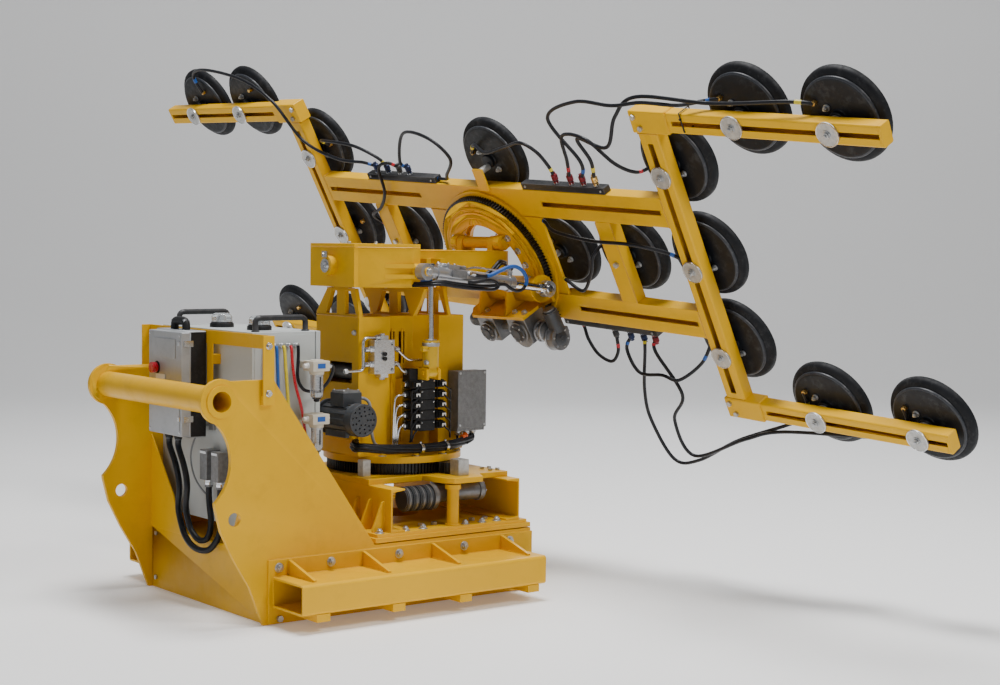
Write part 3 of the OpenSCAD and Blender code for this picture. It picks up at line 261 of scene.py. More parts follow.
class Acc:
    """Collects solids of one material on one body into one mesh. Points are in mm of frame M."""
    def __init__(self, name, mat, body, M=BASE, smooth=35):
        self.name, self.mat, self.body, self.M, self.smooth = name, mat, body, M, smooth
        self.bm = bmesh.new()
    def _basis(self, ax):
        z = Vector(ax).normalized()
        x = Vector((0, 0, 1)).cross(z) if abs(z.z) < 0.9 else Vector((1, 0, 0)).cross(z)
        x.normalize()
        y = z.cross(x)
        return Matrix((x, y, z)).transposed().to_4x4()
    def lathe(self, p, ax, prof, seg=48, a0=0.0):
        """prof: (radius, distance along the axis) from end to end; radius 0 closes an end."""
        B = self.M @ T(p) @ self._basis(ax)
        rings = []
        for r, t in prof:
            if r <= 1e-6:
                rings.append([self.bm.verts.new(B @ Vector((0, 0, t)))])
            else:
                rings.append([self.bm.verts.new(B @ Vector((r * math.cos(a0 + 2 * math.pi * i / seg), r * math.sin(a0 + 2 * math.pi * i / seg), t))) for i in range(seg)])
        for a, b in zip(rings, rings[1:]):
            if len(a) == 1 and len(b) == 1:
                continue
            for i in range(seg):
                j = (i + 1) % seg
                if len(a) == 1:
                    self.bm.faces.new((a[0], b[i], b[j]))
                elif len(b) == 1:
                    self.bm.faces.new((a[i], a[j], b[0]))
                else:
                    self.bm.faces.new((a[i], a[j], b[j], b[i]))
        return self
    def cyl(self, p, ax, r, h, c=1.0, seg=32):
        c = min(c, r * 0.45, h * 0.45)
        return self.lathe(p, ax, [(0, 0), (r - c, 0), (r, c), (r, h - c), (r - c, h), (0, h)], seg)
    def ring(self, p, ax, r0, r1, h, c=1.0, seg=64):
        c = min(c, (r1 - r0) * 0.4, h * 0.4)
        return self.lathe(p, ax, [(r0, c), (r0 + c, 0), (r1 - c, 0), (r1, c), (r1, h - c), (r1 - c, h), (r0 + c, h), (r0, h - c), (r0, c)], seg)
    def bolt(self, p, ax, af=24, h=14, washer=0, socket=False):
        ax = Vector(ax).normalized()
        p = Vector(p)
        if washer:
            self.cyl(p, ax, washer, 2.5, 0.6)
            p = p + ax * 2.4
        if socket:
            r = af / 2
            self.lathe(p, ax, [(0, 0), (r, 0), (r, h - 1.2), (r - 1.2, h), (r * 0.5, h), (r * 0.5, h * 0.45), (0, h * 0.45)], 24)
            return self
        R_ = af / math.sqrt(3)
        i0 = len(self.bm.verts)
        self.lathe(p, ax, [(0, 0), (R_, 0), (R_, h - 2), (R_ * 0.86, h), (0, h)], 6, 0.3)
        return self
    def box(self, a, b, c=1.0):
        """box between corners with chamfered edges"""
        a, b = Vector(a), Vector(b)
        c = min(c, *(abs(b[i] - a[i]) * 0.45 for i in range(3)))
        m0 = (a + b) / 2
        h = (b - a) / 2
        h = Vector((abs(h.x), abs(h.y), abs(h.z)))
        tmp = bmesh.new()
        bmesh.ops.create_cube(tmp, size=2.0)
        for v in tmp.verts:
            v.co = Vector((v.co.x * h.x, v.co.y * h.y, v.co.z * h.z)) + m0
        if c > 0:
            bmesh.ops.bevel(tmp, geom=list(tmp.edges), offset=c, segments=2, profile=0.6, affect='EDGES')
        self._merge(tmp)
        return self
    def _merge(self, tmp):
        vm = {}
        for v in tmp.verts:
            vm[v] = self.bm.verts.new(self.M @ v.co)
        for f in tmp.faces:
            self.bm.faces.new([vm[v] for v in f.verts])
        tmp.free()
    def prism(self, pts, a, b, plane='yz', c=0.8):
        """outline pts extruded from a to b across the plane"""
        tmp = bmesh.new()
        def P(q, t):
            return Vector((t, q[0], q[1])) if plane == 'yz' else Vector((q[0], t, q[1])) if plane == 'xz' else Vector((q[0], q[1], t))
        lo = [tmp.verts.new(P(q, a)) for q in pts]
        hi = [tmp.verts.new(P(q, b)) for q in pts]
        n = len(pts)
        tmp.faces.new(lo)
        tmp.faces.new(list(reversed(hi)))
        for i in range(n):
            tmp.faces.new((lo[i], hi[i], hi[(i + 1) % n], lo[(i + 1) % n]))
        bmesh.ops.recalc_face_normals(tmp, faces=tmp.faces)
        if c > 0:
            es = [e for e in tmp.edges if len(e.link_faces) == 2 and e.calc_face_angle(0) > 0.5]
            bmesh.ops.bevel(tmp, geom=es, offset=c, segments=1, affect='EDGES')
        self._merge(tmp)
        return self
    def tube(self, pts, r, seg=12, step=6, smooth=True, rings=None):
        """round tube along a smooth line through pts; rings(t) may scale the radius"""
        P = [Vector(p) for p in pts]
        line = spline(P, step) if smooth else P
        n = len(line)
        prev = None
        last = None
        for i, q in enumerate(line):
            t = (line[min(i + 1, n - 1)] - line[max(i - 1, 0)]).normalized()
            if prev is None:
                x = t.cross(Vector((0, 0, 1)))
                if x.length < 0.2:
                    x = t.cross(Vector((1, 0, 0)))
                x.normalize()
            else:
                x = (prev - t * prev.dot(t)).normalized()
            prev = x
            y = t.cross(x)
            k = rings(i, n) if rings else 1.0
            ring = [self.bm.verts.new(self.M @ (q + (x * math.cos(2 * math.pi * j / seg) + y * math.sin(2 * math.pi * j / seg)) * r * k)) for j in range(seg)]
            if last:
                for j in range(seg):
                    self.bm.faces.new((last[j], last[(j + 1) % seg], ring[(j + 1) % seg], ring[j]))
            else:
                self.bm.faces.new(list(reversed(ring)))
            last = ring
        self.bm.faces.new(last)
        return self
    def weld(self, pts, r=3.2):
        """a weld bead: a lumpy tube along straight runs"""
        P = [Vector(p) for p in pts]
        line = []
        for a, b in zip(P, P[1:]):
            k = max(2, int((b - a).length / 5.0))
            line += [a.lerp(b, i / k) for i in range(k)]
        line.append(P[-1])
        return self.tube(line, r, 6, smooth=False, rings=lambda i, n: 0.86 + 0.18 * ((i % 2) == 0) + 0.05 * math.sin(i * 2.3))
    def done(self, slot=None):
        o = obj_from_bm(self.name, self.bm, self.mat, self.body, self.smooth)
        return o

def spline(P, step):
    out = []
    n = len(P)
    for i in range(n - 1):
        a, b, c, d = P[max(i - 1, 0)], P[i], P[i + 1], P[min(i + 2, n - 1)]
        for k in range(step):
            t = k / step
            out.append(0.5 * ((2 * b) + (c - a) * t + (2 * a - 5 * b + 4 * c - d) * t * t + (3 * b - a - 3 * c + d) * t * t * t))
    out.append(P[-1])
    return out

def body_of(node):
    for b, ns in frame["record"]["behaviour"]["bodies"].items():
        if node in ns:
            return b

def rounded(node, mat, w=1.6, angle=30, smooth=35):
    """The node's own shape with its edges broken, standing for the node."""
    src = NODES[node]
    bm = bmesh.new()
    bm.from_mesh(src.data)
    bmesh.ops.transform(bm, matrix=src.matrix_world, verts=bm.verts)
    bmesh.ops.remove_doubles(bm, verts=bm.verts, dist=2e-6)
    bmesh.ops.dissolve_limit(bm, angle_limit=math.radians(0.6), verts=bm.verts, edges=bm.edges)
    bmesh.ops.dissolve_degenerate(bm, edges=bm.edges, dist=1e-6)
    ww = w * 0.001
    good = []
    for e in bm.edges:
        if len(e.link_faces) == 2 and e.calc_face_angle(0) > math.radians(angle):
            good.append(e)
    # edges too near a short one stay sharp
    bad = set()
    for v in bm.verts:
        for e in v.link_edges:
            if e.calc_length() < ww * 2.2:
                bad.add(v)
    good = [e for e in good if e.verts[0] not in bad and e.verts[1] not in bad]
    if good:
        bmesh.ops.bevel(bm, geom=good, offset=ww, segments=2, profile=0.6, affect='EDGES', clamp_overlap=True)
    o = obj_from_bm("v_" + node, bm, mat, body_of(node), smooth)
    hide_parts(node)
    return o

def paint(node, mat, smooth=None):
    o = NODES[node]
    o.data.materials.clear() if not len(o.material_slots) else None
    if len(o.material_slots) == 0:
        o.data.materials.append(mat)
    for s in o.material_slots:
        s.material = mat

MATS = {
    'base_box': YEL, 'fork_pocket_near': YEL, 'fork_pocket_far': YEL, 'side_plate_near': YEL, 'side_plate_far': YEL, 'cross_tube': YEL,
    'rear_cross_plate': YEL, 'adapter_plates': YEL, 'support_channels': YEL, 'ring_mount_plate': YEL, 'slew_inner_race': BLKP,
    'slew_drive': SCAST, 'stop_blocks': GALV, 'base_bolts': ZINC, 'cabinet_bracket': YEL, 'cabinet': CAB, 'cabinet_cover': CAB,
    'cabinet_handles': BLKP, 'beacons': BLKM, 'receiver': SILV, 'vacuum_filters': BEIGE, 'connector_hoods': HAMMER, 'control_cable_inner': HOSE, 'control_cable_outer': HOSE,
    'cabinet_hoses': HOSE, 'stop_button': REDP, 'slew_pinion': GEAR, 'slew_gear_ring': GEAR, 'turntable_plate': YEL, 'tower': YEL,
    'electric_motor': MOTOR, 'motor_fan': BLKM, 'pump_tank': BLKP, 'manifold_block': ALU, 'valve_bank': BLKM, 'hydraulic_pipes': BRIGHT,
    'electrical_box': HAMMER, 'hose_bundle': HOSE, 'roll_cylinder_barrel': CYLY, 'roll_cylinder_rod': CHROME, 'boom': YEL,
    'roll_pin': BRIGHT, 'boom_hoses': HOSE, 'tilt_cylinder_barrel': SILVERP, 'tilt_cylinder_rod': CHROME, 'head_carrier': YEL,
    'tilt_shaft': YEL, 'turn_drives': SCAST, 'turn_pinion': GEAR, 'turn_gear_ring': GEAR, 'ring_plate': YEL, 'cross_beams': YEL,
    'uprights': YEL, 'end_arms': YEL, 'clamp_discs': GALV, 'vacuum_manifolds': BLKP, 'vacuum_hoses': HOSE, 'suction_plates': PADP,
    'suction_lips': RUB,
}
for n, o in NODES.items():
    paint(n, MATS.get(n, YEL))

BEVEL = {'base_box': 3, 'fork_pocket_near': 2.5, 'fork_pocket_far': 2.5, 'side_plate_near': 2, 'side_plate_far': 2, 'cross_tube': 2,
         'rear_cross_plate': 2, 'adapter_plates': 2, 'support_channels': 2, 'ring_mount_plate': 2, 'cabinet_bracket': 1.5,
         'cabinet': 1.5, 'cabinet_cover': 3, 'receiver': 5, 'tower': 2.5, 'turntable_plate': 2, 'electrical_box': 3,
         'electric_motor': 0.8, 'manifold_block': 1.5, 'pump_tank': 2, 'valve_bank': 1.5, 'boom': 2.5, 'head_carrier': 2,
         'tilt_cylinder_barrel': 1.5, 'tilt_cylinder_rod': 1.2, 'roll_cylinder_barrel': 1.5, 'roll_cylinder_rod': 1.0,
         'turn_drives': 3, 'slew_drive': 2, 'ring_plate': 1.8, 'cross_beams': 7, 'stop_blocks': 2,
         'connector_hoods': 3, 'vacuum_manifolds': 1.5, 'clamp_discs': 1.0, 'base_bolts': 0.8}
for n, w in BEVEL.items():
    rounded(n, MATS[n], w)
# ---------------------------------------------------------------- cords: the two cables that hang below the receiver
CABLES = {
 'control_cable_inner': [(-790, 165, 672), (-790, 163, 640), (-797, 98, 563), (-797, 74, 490), (-797, 84, 395), (-796, 52, 322), (-792, 20, 290), (-784, -14, 272), (-770, -40, 278), (-755, -46, 310), (-744, -34, 356), (-739, -14, 404), (-738, -5, 450), (-738, -4, 490)],
 'control_cable_outer': [(-790, 245, 672), (-791, 240, 640), (-800, 169, 568), (-800, 138, 483), (-802, 142, 387), (-807, 92, 304), (-811, 45, 269), (-811, -4, 248), (-802, -54, 238), (-786, -98, 246), (-766, -124, 286), (-750, -124, 326), (-741, -110, 368), (-738, -100, 440), (-738, -100, 490)],
}
for name, pts in CABLES.items():
    c_ = Acc(name.replace("control_", "") + "_run", HOSE, 'base', BASE, smooth=80)
    c_.tube(pts, 13, 16, 8)
    o = c_.done("hose_black")
    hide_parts(name)

# ---------------------------------------------------------------- vacuum frame
UPY, T_, B_ = 1210, 346, -331
PADS = []
for sy in (-1, 1):
    for y, z, d in ((1668, 683, 0), (2118, 667, 0), (1628, -680, 0), (2128, -680, 0), (UPY, 447, 2), (UPY, 5, 2), (UPY, -418, 2)):
        PADS.append((sy * y, z, d))
MID = [(765, 0), (-765, 0), (-75, 440), (-335, -10)]
ALLP = [(y, z + 20) for y, z, d in PADS] + MID
def port(y, z):
    if abs(y) < 1000:
        return 90, 40
    if y < 0:
        return (90, 66) if y < -1400 else (118, -14)
    return (-62, 82) if y > 1400 else (-112, 22)
plate = Acc("pad_plates", PADP, 'vacuum_frame', FRM)
rim = Acc("pad_rims", RIM, 'vacuum_frame', FRM)
lips = Acc("pad_lips", RUB, 'vacuum_frame', FRM, smooth=60)
studs = Acc("pad_bolts", ZINC, 'vacuum_frame', FRM)
elbow = Acc("pad_elbows", BRASS, 'vacuum_frame', FRM)
for y, z in ALLP:
    plate.lathe((0, y, z), (1, 0, 0), [(0, 62), (30, 62), (34, 65), (34, 80), (38, 83.5), (70, 84), (148, 84), (156, 84.6), (158.6, 85.4), (158.6, 96.3), (0, 96.3)], 72)
    rim.lathe((0, y, z), (1, 0, 0), [(158.5, 85.6), (162, 86.4), (165.4, 88.4), (167, 91), (167, 96.4), (158.5, 96.4), (158.5, 85.6)], 72)
    lips.lathe((0, y, z), (1, 0, 0), [(140, 96.5), (166, 96.5), (172, 98), (180, 102), (186, 105), (191, 110), (194, 117), (195, 125), (195, 131),
               (193.5, 133.8), (189, 134), (184, 129), (176, 123), (166, 118), (158, 115.5), (150, 113), (140, 112), (140, 96.5)], 72)
    for s in (-1, 1):
        q = 62 * s * math.cos(math.radians(45))
        studs.cyl((78, y + q, z + q), (1, 0, 0), 14, 6, 1)
        studs.bolt((78, y + q, z + q), (-1, 0, 0), 19, 11)
        studs.cyl((67, y + q, z + q), (-1, 0, 0), 5, 7, 0.6, 16)
    dy, dz = port(y, z)
    elbow.bolt((84, y + dy, z + dz), (-1, 0, 0), 20, 9)
    elbow.cyl((75, y + dy, z + dz), (-1, 0, 0), 9.5, 9, 1, 24)
o = plate.done("pad_plate"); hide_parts('suction_plates')
rim.done(); studs.done("zinc"); elbow.done()
o = lips.done("lip_rubber"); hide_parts('suction_lips')

R_ = [
 ([(24, 715, 408), (0, 770, 440), (-30, 925, 470), (-30, 1150, 565), (-30, 1275, 780), (-10, 1500, 890), (20, 1850, 930), (56, 2046, 880), (70, 2056, 769)], NAVY),
 ([(24, 630, 408), (0, 640, 470), (-20, 760, 540), (-20, 950, 560), (10, 1060, 545), (70, 1098, 489)], NAVY),
 ([(24, 540, 408), (-10, 560, 450), (-30, 620, 430), (-30, 650, 300), (-30, 730, 210), (-26, 822, 165), (20, 858, 100), (70, 855, 40)], BLKP),
 ([(24, 470, 408), (0, 475, 460), (-20, 335, 620), (-60, 110, 620), (-50, 25, 515), (-20, 135, 410), (20, 200, 366), (24, 262, 361), (24, 270, 361)], NAVY),
 ([(70, 15, 480), (40, -60, 540), (-10, -185, 530), (-20, -345, 570), (-40, -475, 605), (-30, -545, 560), (10, -542, 470), (24, -540, 408)], DRED),
 ([(24, -635, 408), (0, -685, 505), (-30, -745, 640), (-50, -900, 640), (-30, -1000, 520), (20, -1050, 455), (70, -1092, 453)], DRED),
 ([(24, -710, 408), (0, -765, 505), (-30, -695, 720), (-40, -905, 805), (-40, -1110, 790), (-30, -1265, 800), (0, -1420, 775), (50, -1510, 768), (70, -1578, 769)], DRED),
 ([(24, -785, 408), (0, -830, 510), (-20, -820, 625), (-50, -1010, 605), (-30, -1095, 735), (-10, -1230, 815), (0, -1600, 785), (40, -1930, 775), (70, -2028, 753)], BRASS),
 ([(24, -370, -361), (22, -375, -385), (0, -400, -430), (-20, -455, -490), (-25, -535, -515), (0, -572, -470), (24, -570, -393)], NAVY),
 ([(24, -665, -393), (-5, -640, -450), (-40, -710, -540), (-40, -850, -535), (-30, -935, -555), (40, -1030, -500), (70, -1092, -412)], NAVY),
 ([(24, -745, -393), (-5, -755, -440), (-30, -690, -645), (-40, -675, -805), (-40, -735, -1010), (-30, -885, -995), (-10, -1155, -850), (64, -1440, -756), (72, -1530, -680), (70, -1538, -594)], NAVY),
 ([(24, -815, -393), (-5, -820, -440), (-40, -935, -625), (-50, -840, -770), (-40, -875, -965), (-20, -1205, -830), (30, -1400, -790), (68, -1920, -752), (74, -2030, -690), (70, -2038, -594)], DRED),
 ([(7, -380, 188), (0, -402, 184), (-30, -480, 160), (-30, -685, 130), (-30, -920, 130), (40, -1040, 60), (70, -1092, 11)], None),
 ([(7, -380, -112), (0, -404, -116), (-15, -505, -150), (-20, -605, -45), (-15, -650, 40), (50, -670, 70), (70, -675, 40)], None),
]
hz = Acc("vacuum_hose_runs", HOSE, 'vacuum_frame', FRM, smooth=80)
tapes = {k: Acc("tape_" + n, k, 'vacuum_frame', FRM, smooth=80) for k, n in ((BLUE, 'b'), (REDP, 'r'), (YTAPE, 'y'))}
for i, (p, c) in enumerate(R_):
    hz.tube(p, 8.0, 12, 10)
    line = spline([Vector(q) for q in p], 10)
    tp = tapes[[BLUE, YTAPE, REDP][i % 3]]
    for at in (5, len(line) - 9):
        tp.tube(line[at:at + 3], 8.8, 12, smooth=False)
o = hz.done("hose_black"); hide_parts('vacuum_hoses')
for t in tapes.values(): t.done()

man = Acc("vacuum_rails", BLKP, 'vacuum_frame', FRM)
for a, b in ((270, 785), (-840, -325)):
    man.box((4, a, T_), (44, b, T_ + 30), 2.5)
man.box((4, -860, B_ - 30), (44, -275, B_), 2.5)
o = man.done("black_plastic"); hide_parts('vacuum_manifolds')
CPL = [(0, 0), (9, 0), (12.5, 2), (12.5, 12), (10, 14), (10, 17), (14.5, 19), (14.5, 22), (13.4, 23.5), (14.5, 25), (14.5, 28), (13.4, 29.5), (14.5, 31), (14.5, 42), (11, 45), (9, 48), (9, 54), (0, 54)]
acc = {m_: Acc("coupling_" + n, m_, 'vacuum_frame', FRM) for m_, n in ((NAVY, 'navy'), (DRED, 'red'), (BRASS, 'brass'), (BLKP, 'black'))}
nut = Acc("coupling_nuts", ZINC, 'vacuum_frame', FRM)
for y, c in ((715, NAVY), (630, NAVY), (540, BLKP), (470, NAVY), (-540, DRED), (-635, DRED), (-710, DRED), (-785, BRASS)):
    acc[c].lathe((24, y, T_ + 30), (0, 0, 1), CPL, 28); nut.bolt((24, y, T_ + 30), (0, 0, 1), 24, 9)
for y, c in ((-570, BLKP), (-665, NAVY), (-745, NAVY), (-815, DRED)):
    acc[c].lathe((24, y, B_ - 30), (0, 0, -1), CPL, 28); nut.bolt((24, y, B_ - 30), (0, 0, -1), 24, 9)
for y in (300, 760, -350, -820):
    nut.bolt((4, y, T_ + 15), (-1, 0, 0), 10, 5, socket=True)
for y in (-300, -830):
    nut.bolt((4, y, B_ - 15), (-1, 0, 0), 10, 5, socket=True)
for a in acc.values(): a.done()
nut.done("zinc")

rims = Acc("disc_rims", BRIGHT, 'vacuum_frame', FRM)
wsh = Acc("disc_washers", ZINC, 'vacuum_frame', FRM)
for y, z, d in PADS:
    rims.ring((-8.9 - d, y, z), (1, 0, 0), 45.5, 50.0, 4, 1, 64)
    wsh.cyl((-8 - d, y, z), (-1, 0, 0), 19, 3, 0.8, 32)
    wsh.cyl((-19 - d, y, z), (-1, 0, 0), 7.5, 7, 1, 20)
rims.done("zinc"); wsh.done("zinc")
wl = Acc("frame_welds", YELW, 'vacuum_frame', FRM, smooth=70)
for s in (-1, 1):
    for v0 in (277, -262):
        for n_ in (1.0, 57.0):
            wl.weld([(n_, s * 1157.5, v0 - 66), (n_, s * 1157.5, v0 + 66)], 3.5)
        wl.weld([(2, s * 1156, v0 + 69), (56, s * 1156, v0 + 69)], 3.2)
        wl.weld([(2, s * 1156, v0 - 69), (56, s * 1156, v0 - 69)], 3.2)
    wl.weld([(-2, s * 1160, -630), (-2, s * 1262, -630)], 3.5)
    wl.weld([(-2, s * 1160, 647), (-2, s * 1262, 644)], 3.5)
    wl.weld([(0.5, s * 721, -190), (0.5, s * 721, 205)], 3); wl.weld([(0.5, s * 809, -190), (0.5, s * 809, 205)], 3)
wl.weld([(-1, -378, 207), (-1, 378, 207)], 3); wl.weld([(-1, -378, -192), (-1, 378, -192)], 3)
wl.done("yellow_paint")
zt = Acc("cable_ties", BLKM, 'vacuum_frame', FRM)
for y, z0, z1 in ((-1420, 659, 741),):
    zt.tube([(-3.5, y, z0), (-3.5, y, z1), (60, y, z1 + 1), (60, y, z0 - 1), (-3.5, y, z0)], 3, 8, smooth=False)
    zt.box((-9, y - 5, z1 - 30), (-3, y + 5, z1 - 22), 1)
zt.done("black_plastic")
caps = Acc("arm_caps", BLKM, 'vacuum_frame', FRM)
for s in (-1, 1):
    caps.box((5, s * 2269, -680 - 39), (53, s * 2275.5, -680 + 39), 2)
caps.done("black_plastic")

# slotted rails of the frame: each half a folded profile with round corners, closed by end pieces
def arc(cx_, cz_, r_, a0, a1, n_=5):
    return [(cx_ + r_ * math.cos(math.radians(a0 + (a1 - a0) * i / n_)), cz_ + r_ * math.sin(math.radians(a0 + (a1 - a0) * i / n_))) for i in range(n_ + 1)]
def half(n0, n1, h, sl, w, sg, c0=0.0, rr=9.0):
    q = [(n0, sl)] + arc(n0 + rr, h - rr, rr, 180, 90) + arc(n1 - rr, h - rr, rr, 90, 0) + [(n1, sl), (n1 - w, sl), (n1 - w, h - w), (n0 + w, h - w), (n0 + w, sl)]
    return [(a_, c0 + sg * b_) for a_, b_ in q]
def whole(n0, n1, h, c0=0.0, rr=9.0):
    q = arc(n0 + rr, h - rr, rr, 180, 90) + arc(n1 - rr, h - rr, rr, 90, 0) + arc(n1 - rr, rr - h, rr, 0, -90) + arc(n0 + rr, rr - h, rr, -90, -180)
    return [(a_, c0 + b_) for a_, b_ in q]
arms = None
for sy in (-1, 1):
    for v, d, end in ((700, 1.93, 2355), (-680, 0.0, 2277)):
        Ma = FRM @ Matrix.Translation((0, sy * 1145, v)) @ Rx(-d * sy) @ Matrix.Translation((0, -sy * 1145, 0))
        a_ = Acc("arm_rail_%s_%s" % ("near" if sy < 0 else "far", "upper" if v > 0 else "lower"), YEL, 'vacuum_frame', Ma, smooth=40)
        for sg in (-1, 1):
            a_.prism(half(0, 58, 44.5, 10, 5, sg), *sorted((sy * 1325, sy * (end - 14))), plane='xz', c=0.7)
        a_.prism(whole(0, 58, 44.5), *sorted((sy * (end - 14.5), sy * end)), plane='xz', c=1.6)
        a_.prism(whole(0.5, 57.5, 44), *sorted((sy * 1330, sy * 1360)), plane='xz', c=0.6)
        a_.prism(whole(-6, 64, 50, rr=7.0), *sorted((sy * 1145, sy * 1337)), plane='xz', c=1.6)
        a_.weld([(-1.5, sy * 1337.5, 44), (-1.5, sy * 1337.5, -44)], 3.4)
        a_.weld([(2, sy * 1337.5, 46), (56, sy * 1337.5, 46)], 3.2)
        o = a_.done("yellow_paint")
        if arms is None:
            arms = o
            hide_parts('end_arms')
up_ = Acc("upright_rails", YEL, 'vacuum_frame', FRM, smooth=40)
for sy in (-1, 1):
    y0 = sy * 1210
    for sg in (-1, 1):
        up_.prism(half(-2, 60, 52.5, 15, 5, sg, y0), -630, 645, plane='xy', c=0.7)
    for z0, z1 in ((-630, -600), (600, 645)):
        up_.box((-2, y0 - 15.5, z0), (3, y0 + 15.5, z1), 0.4)
        up_.box((55, y0 - 15.5, z0), (60, y0 + 15.5, z1), 0.4)
o = up_.done("yellow_paint"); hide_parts('uprights')

# ---------------------------------------------------------------- turning ring and head
gr = Acc("ring_grooves", YEL, 'head', RING)
for r0, r1 in ((207, 213), (240, 244), (262, 271)):
    gr.ring((-62.9, 0, 0), (1, 0, 0), r0, r1, 2.2, 0.8, 128)
gr.ring((-57.0, 0, 0), (1, 0, 0), 284, 288, 2.2, 0.8, 128)
gr.done("yellow_paint")
rw = Acc("ring_washers", ZINC, 'head', RING)
for k in (54, 72, 90, 108, 126, -54, -72, -90, -108, -126):
    a = math.radians(k)
    y, z = -236 * math.sin(a), 236 * math.cos(a)
    rw.bolt((-62, y, z), (-1, 0, 0), 25.2, 11, washer=17)
rw.done("zinc")
hw = Acc("head_welds", YELW, 'head', HEAD, smooth=70)
hw.weld([(-150, -348, -93), (-150, 348, -93)], 3.5)
for s in (-1, 1):
    hw.weld([(-148, s * 350, -93), (-66, s * 350, -93)], 3)
hw.weld([(-76, -328, -164), (-76, 148, -164)], 3.2)
hw.weld([(-77, -336, -197), (-77, 118, -197)], 3.2)
for y in (15, -170):
    hw.weld([(-236, y - 7, -197), (-80, y - 7, -197)], 2.6); hw.weld([(-236, y + 7, -197), (-80, y + 7, -197)], 2.6)
hw.done("yellow_paint")
cv = Acc("gear_covers", BLKP, 'head', HEAD)
cb = Acc("gear_cover_bolts", ZINC, 'head', HEAD)
fl = Acc("gear_flanges", SILVERP, 'head', HEAD)
for y, z, r, n_ in ((-230, -276, 46, -250), (0, -289, 42, -240)):
    cv.lathe((n_, y, z), (-1, 0, 0), [(0, 0), (r, 0), (r, 4), (r - 4, 8), (r * 0.55, 9), (r * 0.5, 12), (0, 12)], 48)
    for k in range(6):
        a = math.radians(60 * k + 20)
        cb.bolt((n_ - 3, y + (r - 7) * math.cos(a), z + (r - 7) * math.sin(a)), (-1, 0, 0), 9, 7, socket=True)
fl.ring((-172, -296, -308), (0, -1, 0), 30, 51, 11, 1.5, 48)
fl.ring((-172, -330, -308), (0, -1, 0), 30, 49, 9, 1.5, 48)
fl.ring((-165, -353, -345), (0, -1, 0), 48, 58, 8, 1.5, 56)
fl.cyl((-170, 57, -262), (0, 1, 0), 40, 8, 1.5, 40)
for k in range(8):
    a = math.radians(45 * k + 10)
    cb.bolt((-172 + 45 * math.cos(a), -307, -308 + 45 * math.sin(a)), (0, -1, 0), 8, 5, socket=True)
for k in range(6):
    a = math.radians(60 * k + 30)
    cb.bolt((-165 + 42 * math.cos(a), -402, -345 + 42 * math.sin(a)), (0, -1, 0), 9, 5, socket=True)
for k in range(4):
    a = math.radians(90 * k + 45)
    cb.bolt((-170 + 33 * math.cos(a), 65, -262 + 33 * math.sin(a)), (0, 1, 0), 8, 5, socket=True)
for y in (-270, -205, -10, 35):
    cb.bolt((-200, y, -198), (0, 0, 1), 23.2, 10.8, washer=16)
cv.done("black_steel"); cb.done("zinc"); fl.done()
dm = Acc("drive_motors", MOTOR, 'head', HEAD)
for k in range(9):
    dm.ring((-170, 72 + 8 * k, -262), (0, 1, 0), 30, 35.5, 3.2, 0.6, 40)
dm.lathe((-150, -382, -316), (0, 0, 1), [(0, 0), (35.4, 0), (35.4, 100), (33, 104), (28.6, 104.5), (28.6, 112), (25, 115.5), (0, 116)], 44)
dm.lathe((-165, -402, -345), (0, -1, 0), [(0, 0), (34, 0), (34, 3), (28, 7), (12, 8), (10, 12), (0, 12)], 40)
dm.done("black_steel")
# hoses that pass through the opening to the rotary joint
ru = Acc("rotary_joint", ALU, 'head', RING)
ru.lathe((-12, 0, 30), (1, 0, 0), [(0, 0), (24, 0), (28, 3), (28, 11), (26, 13), (0, 13)], 48)
ru.done()
rh = Acc("rotary_hoses", HOSE, 'head', HEAD, smooth=80)
for i, (dy, dz) in enumerate(((0, 0), (14, 6), (-13, 8), (3, 17))):
    rh.tube([(-60, -120 + dy * 0.5, -60 + dz * 0.4), (-66, -80 + dy, -30 + dz), (-70, -40 + dy, 6 + dz), (-66, -15 + dy * 0.5, 12 + dz * 0.5), (-56, -4 + dy * 0.4, 4 + dz * 0.4)], 6.5, 12, 8)
rh.done("hose_black")

# ---------------------------------------------------------------- boom
bw = Acc("boom_welds", YELW, 'boom', UP, smooth=70)
ry = -26
bw.weld([(-168, ry - 163, 1486), (-168, ry + 163, 1486)], 3.2)
bw.weld([(-166, ry - 165, 1484), (-148, ry - 165, 1484), (33, ry - 306, 1484), (73, ry - 306, 1484)], 3.2)
bw.weld([(-166, ry + 165, 1484), (-148, ry + 165, 1484), (33, ry + 306, 1484), (73, ry + 306, 1484)], 3.2)
bw.weld([(76, ry - 190, 1474), (76, ry + 190, 1474)], 3.5)
for s in (-1, 1):
    bw.weld([(80, -20 + s * 188, 1472), (618, -20 + s * 188, 1472)], 2.8)
    bw.weld([(98, -20 + s * 188, 1356), (618, -20 + s * 188, 1356)], 2.8)
for y in (-130, 92):
    bw.weld([(638, y - 1, 1474), (702, y - 1, 1474)], 3); bw.weld([(638, y + 39, 1474), (702, y + 39, 1474)], 3)
bw.done("yellow_paint")
bk = Acc("boom_bolts", ZINC, 'boom', UP)
bk.bolt((-208, ry, 1453), (-1, 0, 0), 12, 7, washer=9)
bk.lathe((-212, ry, 1405), (-1, 0, 0), [(0, 0), (11, 0), (10, 2), (4, 2), (4, 5), (3, 6), (0, 6)], 24)
for y in (-118, 104):
    bk.lathe((670, y, 1542), (0, 0, 1), [(0, 0), (5, 0), (5, 4), (3, 6), (3, 9), (0, 10)], 16)
for x in (-120, -40, 20):
    bk.bolt((x, ry + 60 * (1 if x == -40 else -1), 1500), (0, 0, 1), 13, 7, washer=9)
for s in (-1, 1):
    bk.bolt((62, s * 411, 1385), (0, s, 0), 24, 8, washer=17)
bk.done("zinc")
bh = Acc("boom_hose_runs", HOSE, 'boom', UP, smooth=80)
